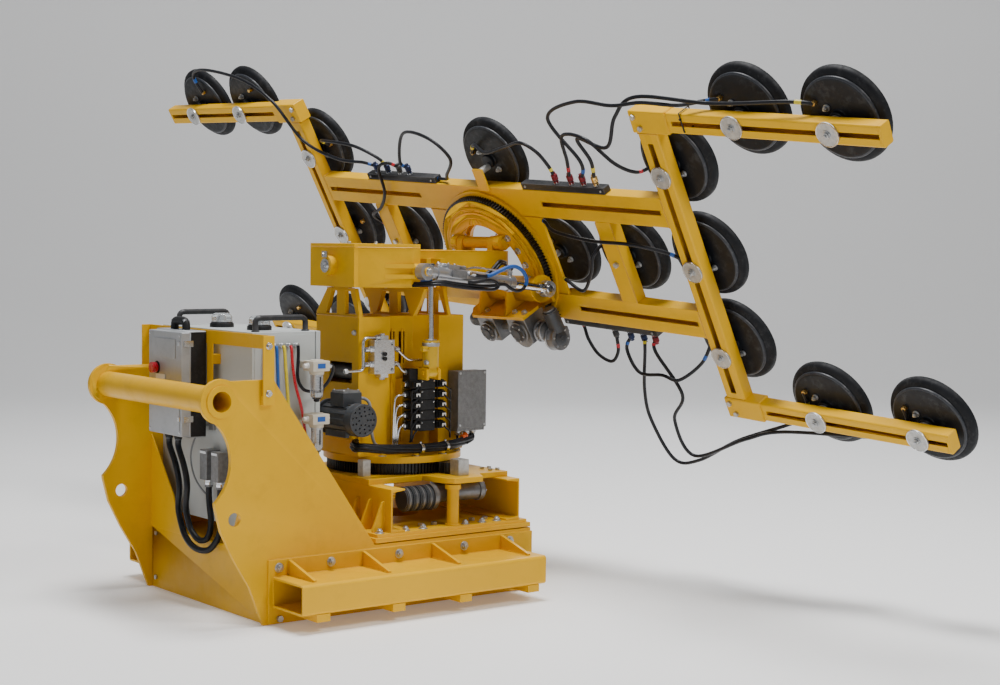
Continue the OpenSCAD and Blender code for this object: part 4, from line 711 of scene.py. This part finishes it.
H1 = [(-10, -230, 1335), (60, -262, 1338), (150, -318, 1350), (260, -262, 1352), (380, -236, 1342), (470, -232, 1350), (540, -240, 1385), (590, -238, 1425), (640, -215, 1420)]
H2 = [(-10, -212, 1325), (60, -206, 1326), (125, -197, 1343), (200, -196, 1344), (330, -214, 1334), (440, -222, 1330), (520, -222, 1338), (600, -200, 1334)]
bh.tube(H1, 8.8, 14, 10); bh.tube(H2, 8.8, 14, 10)
bh.tube([(p[0], p[1] - 11, p[2] - 10) for p in H1[1:]], 6, 12, 10)
o = bh.done("hose_black"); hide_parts('boom_hoses')
sl = Acc("boom_hose_sleeves", BLUE, 'boom', UP, smooth=80)
for P_, a, b in ((H1, 14, 26), (H1, 40, 46), (H2, 30, 44)):
    sl.tube(spline([Vector(q) for q in P_], 10)[a:b], 9.8, 14, smooth=False)
sl.done()
cn = Acc("boom_hose_ends", ZINC, 'boom', UP)
for p, d, k in ((H1[0], (-1, 0.4, 0), 1), (H2[0], (-1, 0.4, 0), 1), (H1[-1], (1, 0.4, -0.1), 0.5), (H2[-1], (1, 0.3, 0), 0.5)):
    cn.bolt(p, d, 24 - 6 * (k < 1), 14 * k); cn.cyl(p, d, 9, 24 * k, 1, 24)
cn.done("zinc")

# ---------------------------------------------------------------- cylinders
tb = Acc("tilt_ports", ZINC, 'tilt_cylinder_barrel', TC)
tg = Acc("tilt_gland", BRIGHT, 'tilt_cylinder_barrel', TC)
for s in (-1, 1):
    y = s * 380
    tb.bolt((72, y, 38), (-1, 0, 0), 20, 10); tb.bolt((205, y, 38), (1, 0, 0), 20, 10)
    tb.bolt((470, y, 46), (0, 0, 1), 20, 9)
    for x in (122, 156):
        tb.bolt((x, y, 44), (0, 0, 1), 10, 7, socket=True)
    tg.ring((485, y, 0), (1, 0, 0), 18.6, 30, 5, 1, 48)
    tg.ring((452, y, 0), (1, 0, 0), 31, 34.5, 3, 0.8, 48)
tb.done("zinc"); tg.done("zinc")
tp = Acc("tilt_pipes", BRIGHT, 'tilt_cylinder_barrel', TC, smooth=70)
for s in (-1, 1):
    y = s * 380
    tp.tube([(214, y, 38), (235, y, 39), (260, y, 47), (300, y, 50), (400, y, 50), (440, y, 52), (458, y, 60), (468, y, 62), (470, y, 54)], 4.5, 12, 6)
tp.done("zinc")
LOOP = [(227, -420, 16), (262, -427, 12), (310, -430, 18), (360, -432, 42), (410, -434, 66), (455, -434, 73), (500, -432, 56), (526, -430, 20),
        (515, -428, -14), (480, -428, -30), (440, -430, -24), (400, -430, -10), (330, -428, -24), (250, -426, -32), (160, -424, -34), (70, -422, -34),
        (20, -400, -44), (-6, -350, -52), (-14, -300, -52)]
lp = Acc("tilt_hose_loop", HOSE, 'tilt_cylinder_barrel', TC, smooth=80)
lp.tube(LOOP, 7.5, 14, 8)
lp.tube([(p[0] * 0.62 + 40, p[1] - 3, p[2] * 0.35 - 26) for p in LOOP[1:9]] + [(330, -431, -40), (240, -430, -46), (150, -428, -48), (60, -424, -46), (10, -396, -56), (-18, -330, -62)], 7.0, 14, 8)
lp.done("hose_black")
ls = Acc("tilt_hose_sleeve", BLUE, 'tilt_cylinder_barrel', TC, smooth=80)
ls.tube(spline([Vector(q) for q in LOOP], 8)[14:62], 8.6, 14, smooth=False)
ls.done()
lf = Acc("tilt_hose_fitting", BRIGHT, 'tilt_cylinder_barrel', TC)
lf.bolt((206, -419, 16), (1, -0.1, 0), 20, 14); lf.cyl((218, -420, 16), (1, -0.1, 0), 9.5, 22, 1.5, 24)
lf.done("zinc")
lq = Acc("tilt_valve_block", HAMMER, 'tilt_cylinder_barrel', TC)
for s_ in (-1, 1):
    lq.box((120, s_ * 412, -8), (196, s_ * 424, 24), 2.5)
lq.done("box_grey")
te2 = Acc("tilt_rod_eyes", SILVERP, 'tilt_cylinder_rod', TC)
for s_ in (-1, 1):
    te2.lathe((math.hypot(750 - 62, 1307 - 1385), s_ * 357.6, 0), (0, s_, 0), [(0, 0), (35, 0), (36.8, 2), (36.8, 42), (34.5, 45), (22, 45.4), (20, 43.6), (0, 43.6)], 56)
te2.done("zinc")
te = Acc("tilt_pin_heads", ZINC, 'tilt_cylinder_rod', TC)
L_ = math.hypot(750 - 62, 1307 - 1385)
for s in (-1, 1):
    te.cyl((L_, s * 402, 0), (0, s, 0), 14, 4, 1.2, 32)
    te.bolt((L_ - 37, s * 380, 0), (-1, 0, 0), 46, 9)
te.done("chrome")
rc = Acc("roll_ports", ZINC, 'roll_cylinder_barrel', UP)
rc.bolt((157, -268, 1050), (-1, 0, 0), 20, 12)
rc.bolt((160, -275, 992), (-1, -0.2, 0), 20, 12)
rc.ring((190, -260, 1085), (0, 0, 1), 12.6, 26, 5, 1, 40)
rc.ring((190, -260, 1060), (0, 0, 1), 34.6, 38, 16, 1.2, 48)
rc.done("zinc")

# ---------------------------------------------------------------- column
tw = Acc("tower_welds", YELW, 'turntable', UP, smooth=70)
for x, y in ((45, -130), (193, -90), (320, -90)):
    tw.weld([(x + 1, y - 1, 594), (x + 1, y - 1, 1184)], 3.5)
tw.weld([(-119, -161, 591), (44, -161, 591), (46, -131, 591), (192, -131, 591)], 4)
tw.weld([(-121, -158, 1189), (-121, 158, 1189)], 3.5)
tw.weld([(-99, -158, 1189), (-99, 158, 1189)], 3.5)
tw.weld([(159, ry - 144, 1189), (159, 115, 1189)], 3.5)
tw.weld([(-121, ry - 100, 1308), (-121, ry - 60, 1310), (-121, ry - 58, 1350)], 3)
tw.weld([(-121, ry + 100, 1308), (-121, ry + 60, 1310), (-121, ry + 58, 1350)], 3)
tw.weld([(-121, -148, 686), (-121, 98, 686)], 3.2)
tw.done("yellow_paint")
tk = Acc("tower_bolts", ZINC, 'turntable', UP)
tk.bolt((-121, -132, 1120), (-1, 0, 0), 17, 9, washer=12)
tk.bolt((-121, 110, 860), (-1, 0, 0), 17, 9, washer=12)
for z in (700, 730, 880, 905):
    tk.bolt((120, -175, z), (0, -1, 0), 13, 7, washer=9)
for x, z in ((-58, 958), (-58, 1078), (22, 958), (22, 1078)):
    tk.bolt((x, -208, z), (0, -1, 0), 12, 6, socket=True)
for a in range(30, 330, 30):
    tk.cyl((180 + 280 * math.cos(math.radians(a + 15)), 280 * math.sin(math.radians(a + 15)), 590), (0, 0, 1), 19, 2.6, 0.6, 28)
tk.done("zinc")
# motor: terminal box, cable, cooling grille ring, feet bolts
mt1 = Acc("motor_box", MOTOR, 'turntable', UP)
mt2 = Acc("terminal_box", HAMMER, 'turntable', UP)
mt2.box((-241, -223, 838), (-151, -132, 876), 4)
mt2.box((-239, -221, 874), (-153, -134, 881), 2.5)
mt2.done("box_grey")
mt1.ring((-196, -306.5, 762), (0, 1, 0), 60, 69.2, 3, 1, 64)
mt1.ring((-196, -262, 762), (0, 1, 0), 62, 70, 4, 1, 64)
mt1.done("motor_grey")
mk = Acc("motor_screws", ZINC, 'turntable', UP)
for x in (-232, -160):
    for y in (-214, -141):
        mk.bolt((x, y, 881), (0, 0, 1), 8, 4, socket=True)
mk.cyl((-150, -180, 842), (1, 0, 0), 11, 14, 1.5, 24)
for x in (-231, -161):
    for y in (-220, -110):
        mk.bolt((x, y, 720), (0, 0, 1), 13, 7)
mk.done("zinc")
gc = Acc("motor_cable", GREYC, 'turntable', UP, smooth=80)
gc.tube([(-136, -180, 842), (-112, -188, 842), (-96, -205, 824), (-92, -214, 770), (-88, -214, 700), (-70, -214, 648), (-40, -230, 634)], 7, 12, 8)
gc.done("hose_black")
# manifold fittings and pipes
mf = Acc("manifold_fittings", BRIGHT, 'turntable', UP)
for z in (985, 1050):
    mf.bolt((-70, -184, z), (-1, 0, 0), 26, 12); mf.lathe((-82, -184, z), (-1, 0, 0), [(0, 0), (9, 0), (9, 12), (12, 13), (12, 24), (0, 24)], 24)
    mf.bolt((35, -184, z), (1, 0, 0), 24, 12); mf.lathe((47, -184, z), (1, 0, 0), [(0, 0), (8, 0), (8, 8), (11, 9), (11, 17), (0, 17)], 24)
mf.bolt((-15, -184, 1108), (0, 0, 1), 24, 10)
mf.bolt((-30, -184, 1100), (-1, 0, 0), 24, 10)
mf.bolt((-15, -184, 928), (0, 0, -1), 24, 10)
mf.done("alu_block")
gauge = Acc("manifold_plugs", BLKM, 'turntable', UP)
for z in (1010, 1030):
    gauge.cyl((-20, -208, z), (0, -1, 0), 9, 12, 1.5, 24)
gauge.done("black_plastic")
pp = Acc("steel_pipes", BRIGHT, 'turntable', UP, smooth=70)
PIPES = [
 [(-36, -184, 1100), (-60, -184, 1100), (-95, -184, 1100), (-112, -184, 1080), (-112, -184, 1000), (-118, -184, 965), (-150, -184, 960), (-210, -184, 960)],
 [(62, -184, 1050), (90, -196, 1020), (120, -205, 1000), (190, -210, 998), (235, -212, 990), (240, -212, 955)],
 [(62, -184, 985), (74, -188, 974), (86, -195, 955), (104, -198, 945)],
]
for p in PIPES:
    pp.tube(p, 6, 14, 8)
for i in range(4):
    pp.tube([(96, -205, 715 + 45 * i), (80, -205, 715 + 45 * i), (66 - 7 * i, -200, 695 + 45 * i), (62 - 7 * i, -195, 640 + 20 * i), (62 - 7 * i, -190, 604)], 5, 12, 8)
o = pp.done("zinc"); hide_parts('hydraulic_pipes')
pn = Acc("pipe_nuts", ZINC, 'turntable', UP)
for p, d in (((62, -184, 1050), (1, -0.4, -0.7)), ((62, -184, 985), (0.8, -0.4, -0.7)), ((240, -212, 968), (0, 0, -1)), ((-36, -184, 1100), (-1, 0, 0)), ((-196, -184, 960), (-1, 0, 0)), ((98, -197, 947), (1, -0.2, -0.2))):
    pn.bolt(p, d, 20, 14)
for i in range(4):
    pn.bolt((96, -205, 715 + 45 * i), (-1, 0, 0), 18, 12)
pn.done("zinc")
# valve bank details
vb = Acc("valve_coils", BLKM, 'turntable', UP)
vn = Acc("valve_nuts", BRIGHT, 'turntable', UP)
vt = Acc("valve_tags", WHITE, 'turntable', UP)
vc = Acc("valve_cables", HOSE, 'turntable', UP, smooth=80)
for i in range(5):
    z = 715 + 45 * i
    for x0, x1, d in ((104, 142, -1), (246, 284, 1)):
        vb.box((x0 + 3, -252, z - 13), (x1 - 3, -236, z + 13), 2)
        vb.cyl(((x0 + x1) / 2, -252, z), (0, -1, 0), 9, 10, 1.5, 24)
        vt.box((x0 + 9, -264.4, z - 7), (x0 + 29, -261.6, z + 7), 0.5)
    vn.bolt((96, -205, z), (-1, 0, 0), 22, 7); vn.bolt((292, -205, z), (1, 0, 0), 22, 7)
    vn.cyl((292, -205, z), (1, 0, 0), 7, 14, 1.5, 20)
    vb.box((152, -240, z - 20), (233, -234, z + 20), 1.5)
    for x in (160, 225):
        vn.bolt((x, -240, z + 12), (0, -1, 0), 7, 4, socket=True)
    vc.tube([(265, -262, z), (270, -268, z - 12), (300, -258, z - 30), (318, -240, z - 60 + 4 * i), (322, -232, 660)], 3.6, 10, 8)
    vc.tube([(123, -262, z), (121, -268, z - 10), (108, -262, z - 26), (98, -250, z - 60 + 4 * i), (96 + 3 * i, -240, 648)], 3.6, 10, 8)
vb.done("black_plastic"); vn.done("zinc"); vt.done(); vc.done("hose_black")
# electrical box
eb = Acc("ebox_lid", HAMMER, 'turntable', UP)
eb.box((365, -236, 690), (525, -228, 945), 3)
eb.done("box_grey")
es = Acc("ebox_screws", ZINC, 'turntable', UP)
for x in (376, 514):
    for z in (702, 933):
        es.cyl((x, -236, z), (0, -1, 0), 5.5, 3, 1, 20)
for x in (395, 440, 480):
    es.bolt((x, -196, 690), (0, 0, -1), 36, 12); es.lathe((x, -196, 678), (0, 0, -1), [(0, 0), (15, 0), (16, 3), (16, 11), (12, 17), (9, 20), (0, 20)], 28)
es.done("zinc")
ec = Acc("ebox_cables", HOSE, 'turntable', UP, smooth=80)
for i, x in enumerate((395, 440, 480)):
    ec.tube([(x, -193, 656), (x, -195, 640), (x - 6, -205, 626 + 3 * i), (x - 60, -232, 622)], 6, 12, 8)
ec.done("hose_black")
# the hose bundle in front of the turntable, with clamps and an orange plug
hb = Acc("bundle_runs", HOSE, 'turntable', UP, smooth=80)
CB = [(-138, -172, 652), (-172, -196, 646), (-182, -232, 641), (-150, -255, 640), (-60, -272, 630), (60, -278, 624), (180, -276, 622), (300, -262, 624), (400, -225, 630), (470, -195, 640), (480, -190, 655)]
for i in range(6):
    a = 2 * math.pi * i / 6
    k = 12.5
    hb.tube([(p[0] + (2 * math.sin(i + j)), p[1] + k * math.cos(a + 0.35 * j) * 0.9, p[2] + k * math.sin(a + 0.35 * j)) for j, p in enumerate(CB)], 8.2, 12, 10)
o = hb.done("hose_black"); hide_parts('hose_bundle')
hc = Acc("bundle_clamps", BRIGHT, 'turntable', UP)
for x, y in ((120, -277.5), (262, -268)):
    hc.ring((x, y, 622), (1, -0.02 if x < 200 else 0.18, 0), 21.0, 23.6, 15, 0.6, 40)
    hc.bolt((x + 7, y, 644), (0, 0, 1), 10, 8)
hc.done("zinc")
oc = Acc("orange_plug", ORANGE, 'turntable', UP)
oc.lathe((395, -226, 650), (0.9, 0.35, 0.2), [(0, 0), (9, 0), (11, 3), (11, 22), (13, 24), (13, 34), (10, 38), (0, 38)], 28)
oc.done()

# ---------------------------------------------------------------- base
bs = Acc("base_welds", YELW, 'base', BASE, smooth=70)
for s in (-1, 1):
    y = s * 512
    bs.weld([(-730, y + s * 1, 190), (466, y + s * 1, 190)], 3.5)
    bs.weld([(-730, y + s * 1, 72), (466, y + s * 1, 72)], 3.5)
    bs.weld([(-745, s * 500, 257), (570, s * 500, 257)], 3)
    bs.weld([(-236, s * 498, 276), (572, s * 498, 276)], 2.5)
    for x in (-660, -310, 35, 400):
        bs.weld([(x - 1, y + s * 2, 196), (x - 1, y + s * 2, 250)], 2.8)
        bs.weld([(x - 1, y + s * 6, 192), (x - 1, s * 690, 192)], 2.8)
bs.weld([(-150, -478, 308), (-150, 478, 308)], 3.2)
bs.weld([(525, -478, 308), (525, 478, 308)], 3.2)
bs.weld([(-148, -308, 487), (122, -308, 487)], 3)
bs.done("yellow_paint")
bb = Acc("base_washers", ZINC, 'base', BASE)
for s in (-1, 1):
    for x in (-703, -462, -131, 203, 448):
        bb.cyl((x, s * 512, 225), (0, s, 0), 20, 3, 0.7, 32)
        bb.cyl((x, s * 526, 225), (0, s, 0), 8, 5, 1, 20)
    for x in (-190, -60, 30, 250, 340, 420):
        bb.cyl((x, s * 455, 307), (0, 0, 1), 20, 2.6, 0.6, 32)
bb.done("zinc")
sd = Acc("slew_motor_details", MOTOR, 'base', BASE)
px, py = 263.47, -311.5
for k in range(11):
    sd.ring((px - 284 + 12 * k, py - 62, 425), (1, 0, 0), 46.5, 53.4, 5, 0.8, 40)
sd.lathe((px - 290.5, py - 62, 425), (1, 0, 0), [(0, 0), (44, 0), (47.2, 3), (47.2, 139), (0, 139)], 48)
sd.lathe((px + 122, py - 62, 437), (1, 0, 0), [(0, 0), (44, 0), (44, 4), (40, 8), (20, 9), (18, 12), (0, 12)], 40)
sd.done("dark_cast")
ss = Acc("slew_drive_bolts", ZINC, 'base', BASE)
for k in range(6):
    a = math.radians(60 * k)
    ss.bolt((px + 130, py - 62 + 34 * math.cos(a), 437 + 34 * math.sin(a)), (1, 0, 0), 9, 6, socket=True)
    ss.bolt((px + 66 * math.cos(a), py + 66 * math.sin(a), 467), (0, 0, -1), 13, 7)
ss.done("zinc")

# cabinet group
hd = Acc("handle_tubes", BLKP, 'base', BASE, smooth=60)
for y in (-245, 405):
    hd.tube([(-660, y, 1141), (-660, y, 1176), (-658.8, y, 1184), (-654, y, 1190.5), (-646, y, 1195), (-638, y, 1196), (-447, y, 1196), (-439, y, 1195), (-431, y, 1190.5), (-426.2, y, 1184), (-425, y, 1176), (-425, y, 1141)], 12, 20, smooth=False)
    for x in (-660, -425):
        hd.cyl((x, y, 1140), (0, 0, 1), 17, 6, 1.5, 32)
o = hd.done("black_plastic"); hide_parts('cabinet_handles')
be = Acc("beacon_bases", BLKM, 'base', BASE)
bl = Acc("beacon_lenses", CLEAR, 'base', BASE, smooth=50)
bi = Acc("beacon_cores", ALU, 'base', BASE)
for x, y in ((-580, 175), (-560, -105)):
    be.lathe((x, y, 1140), (0, 0, 1), [(0, 0), (51, 0), (51, 14), (49, 17), (46, 18), (46, 22), (0, 22)], 56)
    bl.lathe((x, y, 1162), (0, 0, 1), [(0, 0.2), (44, 0.2), (44, 6), (43, 7), (44, 8), (44, 14), (43, 15), (44, 16), (44, 22), (43, 25), (41, 30), (36, 34), (28, 37.3), (0, 37.8)], 64)
    bi.lathe((x, y, 1161), (0, 0, 1), [(0, 0), (30, 0), (30, 3), (14, 5), (12, 24), (16, 28), (0, 30)], 40)
o = be.done("black_plastic"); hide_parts('beacons')
bl.done("clear_plastic"); bi.done()
ft = Acc("panel_fittings", ZINC, 'base', BASE)
hcols = [HOSE, BLUE, YTAPE, REDP, HOSE]
CH = [
 [(-640, -318, 1085), (-640, -325, 1070), (-640, -330, 1000), (-640, -330, 850), (-640, -330, 700), (-640, -330, 560)],
 [(-606, -318, 1085), (-607, -325, 1068), (-606, -330, 1000), (-600, -330, 850), (-590, -330, 700), (-585, -330, 560)],
 [(-572, -318, 1085), (-571, -325, 1068), (-568, -330, 1000), (-555, -330, 850), (-540, -330, 700), (-530, -330, 560)],
 [(-538, -318, 1085), (-538, -325, 1066), (-536, -332, 1000), (-525, -338, 920), (-505, -350, 830), (-480, -345, 700), (-470, -340, 560)],
 [(-504, -320, 1085), (-506, -325, 1040), (-515, -335, 960), (-500, -345, 915), (-470, -350, 900), (-420, -354, 905), (-388, -368, 940), (-376, -384, 985), (-386, -391, 1005), (-399.5, -392, 1007)],
]
for i, p in enumerate(CH):
    x = -640 + 34 * i
    ft.bolt((x, -290, 1085), (0, -1, 0), 20, 8); ft.lathe((x, -298, 1085), (0, -1, 0), [(0, 0), (9, 0), (9, 8), (11, 9), (11, 16), (8, 18), (0, 18)], 24)
    c = Acc("panel_hose_%d" % i, hcols[i], 'base', BASE, smooth=80)
    c.tube(p, 6.8 if i in (0, 1, 2, 4) else 5.9, 12, 10)
    o = c.done("hose_mixed")
    if i == 0:
        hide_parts('cabinet_hoses')
    ft.bolt((p[-1][0], p[-1][1], p[-1][2] + (8 if i < 4 else -8)), (0, 0, -1) if i < 4 else (0.3, -0.5, 1), 16, 12)
ft.done("zinc")
vh = Acc("filter_heads", BEIGE, 'base', BASE)
vw = Acc("filter_bowls", CLEAR, 'base', BASE, smooth=50)
vd = Acc("filter_drains", BLKM, 'base', BASE)
vi = Acc("filter_elements", ALU, 'base', BASE)
vp = Acc("filter_ports", WHITE, 'base', BASE)
vg = Acc("filter_tags", BLUE, 'base', BASE)
for z in (985, 770):
    vh.box((-500, -430, z), (-420, -352, z + 42), 4)
    vh.cyl((-460, -392, z + 42), (0, 0, 1), 28, 3, 1, 32)
    vh.box((-478, -352, z + 9), (-442, -291, z + 35), 2)
    vh.ring((-460, -392, z - 14), (0, 0, 1), 24, 30, 15, 2, 40)
    vw.lathe((-460, -392, z - 2), (0, 0, -1), [(0, 0), (26.5, 0), (26.5, 90), (24, 102), (18, 108), (10, 110), (10, 120), (6, 124), (0, 124)], 48)
    vi.lathe((-460, -392, z - 4), (0, 0, -1), [(0, 0), (15, 0), (15, 70), (12, 74), (0, 74)], 32)
    vd.lathe((-460, -392, z - 106), (0, 0, -1), [(0, 0), (19, 0), (19, 6), (12, 9), (12, 16), (7, 20), (0, 20)], 32)
    vd.box((-463, -420.5, z - 84), (-457, -418.2, z - 22), 1)
    vp.lathe((-420, -392, z + 22), (1, 0, 0), [(0, 0), (12, 0), (12, 6), (9, 8), (9, 18), (0, 18)], 24)
    vp.lathe((-500, -392, z + 22), (-1, 0, 0), [(0, 0), (12, 0), (12, 6), (9, 8), (9, 22), (0, 22)], 24)
    vg.box((-478, -431.5, z + 12), (-442, -430, z + 32), 0.3)
o = vh.done("filter_plastic"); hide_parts('vacuum_filters')
vw.done("clear_plastic"); vd.done("black_plastic"); vi.done(); vp.done(); vg.done()
# receiver
rb = Acc("receiver_side", BLKM, 'base', BASE)
rb.box((-817, 3.5, 700), (-748, 5.5, 1130), 0.5)
rb.box((-817, 304.5, 700), (-748, 306.5, 1130), 0.5)
rb.ring((-859.5, 225, 975), (1, 0, 0), 15.6, 27, 3, 1, 48)
rb.tube([(-785, 107, 1133), (-785, 107, 1150), (-785, 112, 1166), (-785, 128, 1172), (-785, 157, 1173), (-785, 186, 1172), (-785, 202, 1166), (-785, 207, 1150), (-785, 207, 1133)], 17, 20, 5)
rb.done("black_plastic")
rl = Acc("receiver_latches", BRIGHT, 'base', BASE)
for z in (760, 1070):
    rl.box((-848, 3, z), (-806, 10, z + 26), 2); rl.box((-864, 18, z + 4), (-858, 34, z + 22), 1.5)
for y in (24, 286):
    for z in (716, 1114):
        rl.cyl((-858, y, z), (-1, 0, 0), 5, 3, 1, 20)
rk = Acc("receiver_glands", BLKM, 'base', BASE)
for y in (165, 245):
    rk.bolt((-790, y, 697), (0, 0, -1), 42, 11); rk.lathe((-790, y, 688), (0, 0, -1), [(0, 0), (18, 0), (18, 6), (15.5, 12), (14.5, 15), (0, 15)], 28)
rk.done("black_plastic"); rl.done("zinc")
rp = Acc("receiver_panel", SILV, 'base', BASE)
rp.box((-861.5, 24, 724), (-857.5, 286, 900), 2)
rp.box((-861.5, 60, 1020), (-857.5, 250, 1100), 2)
rp.done("receiver_plastic")
lb = Acc("receiver_label", WHITE, 'base', BASE)
lb.box((-861, 150, 925), (-859.2, 232, 950), 0.4)
lb.done()
tc_ = Acc("thin_cable", GREYC, 'base', BASE, smooth=80)
tc_.tube(((-700, 40, 742), (-700, 118, 727), (-700, 188, 669), (-700, 223, 593), (-700, 196, 515), (-700, 125, 460), (-700, 47, 435)), 5, 12, 8)
tc_.box((-712, 6, 720), (-690.5, 46, 768), 3)
tc_.done("hose_black")
cg = Acc("cable_glands", BRIGHT, 'base', BASE)
for y in (-4, -100):
    cg.bolt((-738, y, 521), (0, 0, -1), 34, 12); cg.lathe((-738, y, 510), (0, 0, -1), [(0, 0), (18, 0), (18, 8), (16.5, 12), (15.5, 18), (0, 18)], 32)
    cg.box((-767, y - 24, 630), (-764.5, y + 24, 640), 0.6)
for z, y in ((915, -512), (1100, -520)):
    cg.bolt((-757, y - (8 if z == 915 else 0), z), (0, -1, 0), 19, 10, washer=14)
cg.done("zinc")
cs = Acc("cabinet_seams", CAB, 'base', BASE)
cs.box((-690, -292.5, 352), (-412, -290, 1128), 1.2)
cs.done("cabinet_grey")

# ---------------------------------------------------------------- stage
def stage_mat(name, col, rough):
    mt, nt, b = new_mat(name)
    tc = nt.nodes.new("ShaderNodeTexCoord")
    n = nt.nodes.new("ShaderNodeTexNoise")
    n.inputs["Scale"].default_value = 1.5
    nt.links.new(tc.outputs["Object"], n.inputs["Vector"])
    r = nt.nodes.new("ShaderNodeValToRGB")
    r.color_ramp.elements[0].color = (*[c * 0.98 for c in col], 1)
    r.color_ramp.elements[1].color = (*col, 1)
    nt.links.new(n.outputs["Fac"], r.inputs["Fac"])
    nt.links.new(r.outputs["Color"], b.inputs["Base Color"])
    b.inputs["Roughness"].default_value = rough
    b.inputs["Emission Color"].default_value = (1, 1, 1, 1)
    b.inputs["Emission Strength"].default_value = 0.14
    return mt
me = bpy.data.meshes.new("floor")
e = 40.0
bm = bmesh.new()
segs = 12
prof = [(-e, 0.0), (9.0, 0.0)] + [(9.0 + 4.0 * math.sin(math.pi / 2 * i / segs), 4.0 * (1 - math.cos(math.pi / 2 * i / segs))) for i in range(1, segs + 1)] + [(13.0, 20.0)]
# the sweep rises behind the object as seen by the camera
fx, fy = math.cos(YAW), math.sin(YAW)
rows = []
for t, z in prof:
    rows.append([bm.verts.new((fx * t + fy * s, fy * t - fx * s, z - 0.002)) for s in (-e, e)])
for a, b in zip(rows, rows[1:]):
    bm.faces.new((a[0], a[1], b[1], b[0]))
bm.to_mesh(me)
bm.free()
for p in me.polygons:
    p.use_smooth = True
me.materials.append(stage_mat("floor_pale", (0.93, 0.93, 0.93), 0.8))
floor = bpy.data.objects.new("floor", me)
bpy.context.scene.collection.objects.link(floor)

w = bpy.data.worlds.new("world")
bpy.context.scene.world = w
w.use_nodes = True
bg = w.node_tree.nodes["Background"]
bg.inputs[0].default_value = (0.92, 0.95, 1.0, 1)
bg.inputs[1].default_value = 0.16
def area(name, loc, target, size, power, col=(1, 1, 1)):
    l = bpy.data.lights.new(name, 'AREA')
    l.shape = 'RECTANGLE'
    l.size, l.size_y = size
    l.energy = power
    l.color = col
    o = bpy.data.objects.new(name, l)
    bpy.context.scene.collection.objects.link(o)
    d = Vector(target) - Vector(loc)
    o.matrix_world = T(loc) @ d.to_track_quat('-Z', 'Y').to_matrix().to_4x4()
area("key", (1.8, -6.8, 7.0), (0.4, 0, 0.9), (2.0, 2.0), 350, (1.0, 0.98, 0.95))
area("fill", (-7.0, -2.5, 3.2), (0.2, 0, 0.9), (2.4, 2.0), 42, (0.95, 0.97, 1.0))
area("top", (0.0, -0.6, 8.0), (0.4, 0, 0.5), (2.6, 2.6), 720, (1, 1, 1))
area("back", (6.5, 5.0, 5.0), (0.6, 0, 1.2), (3, 2.4), 120, (0.96, 0.98, 1.0))
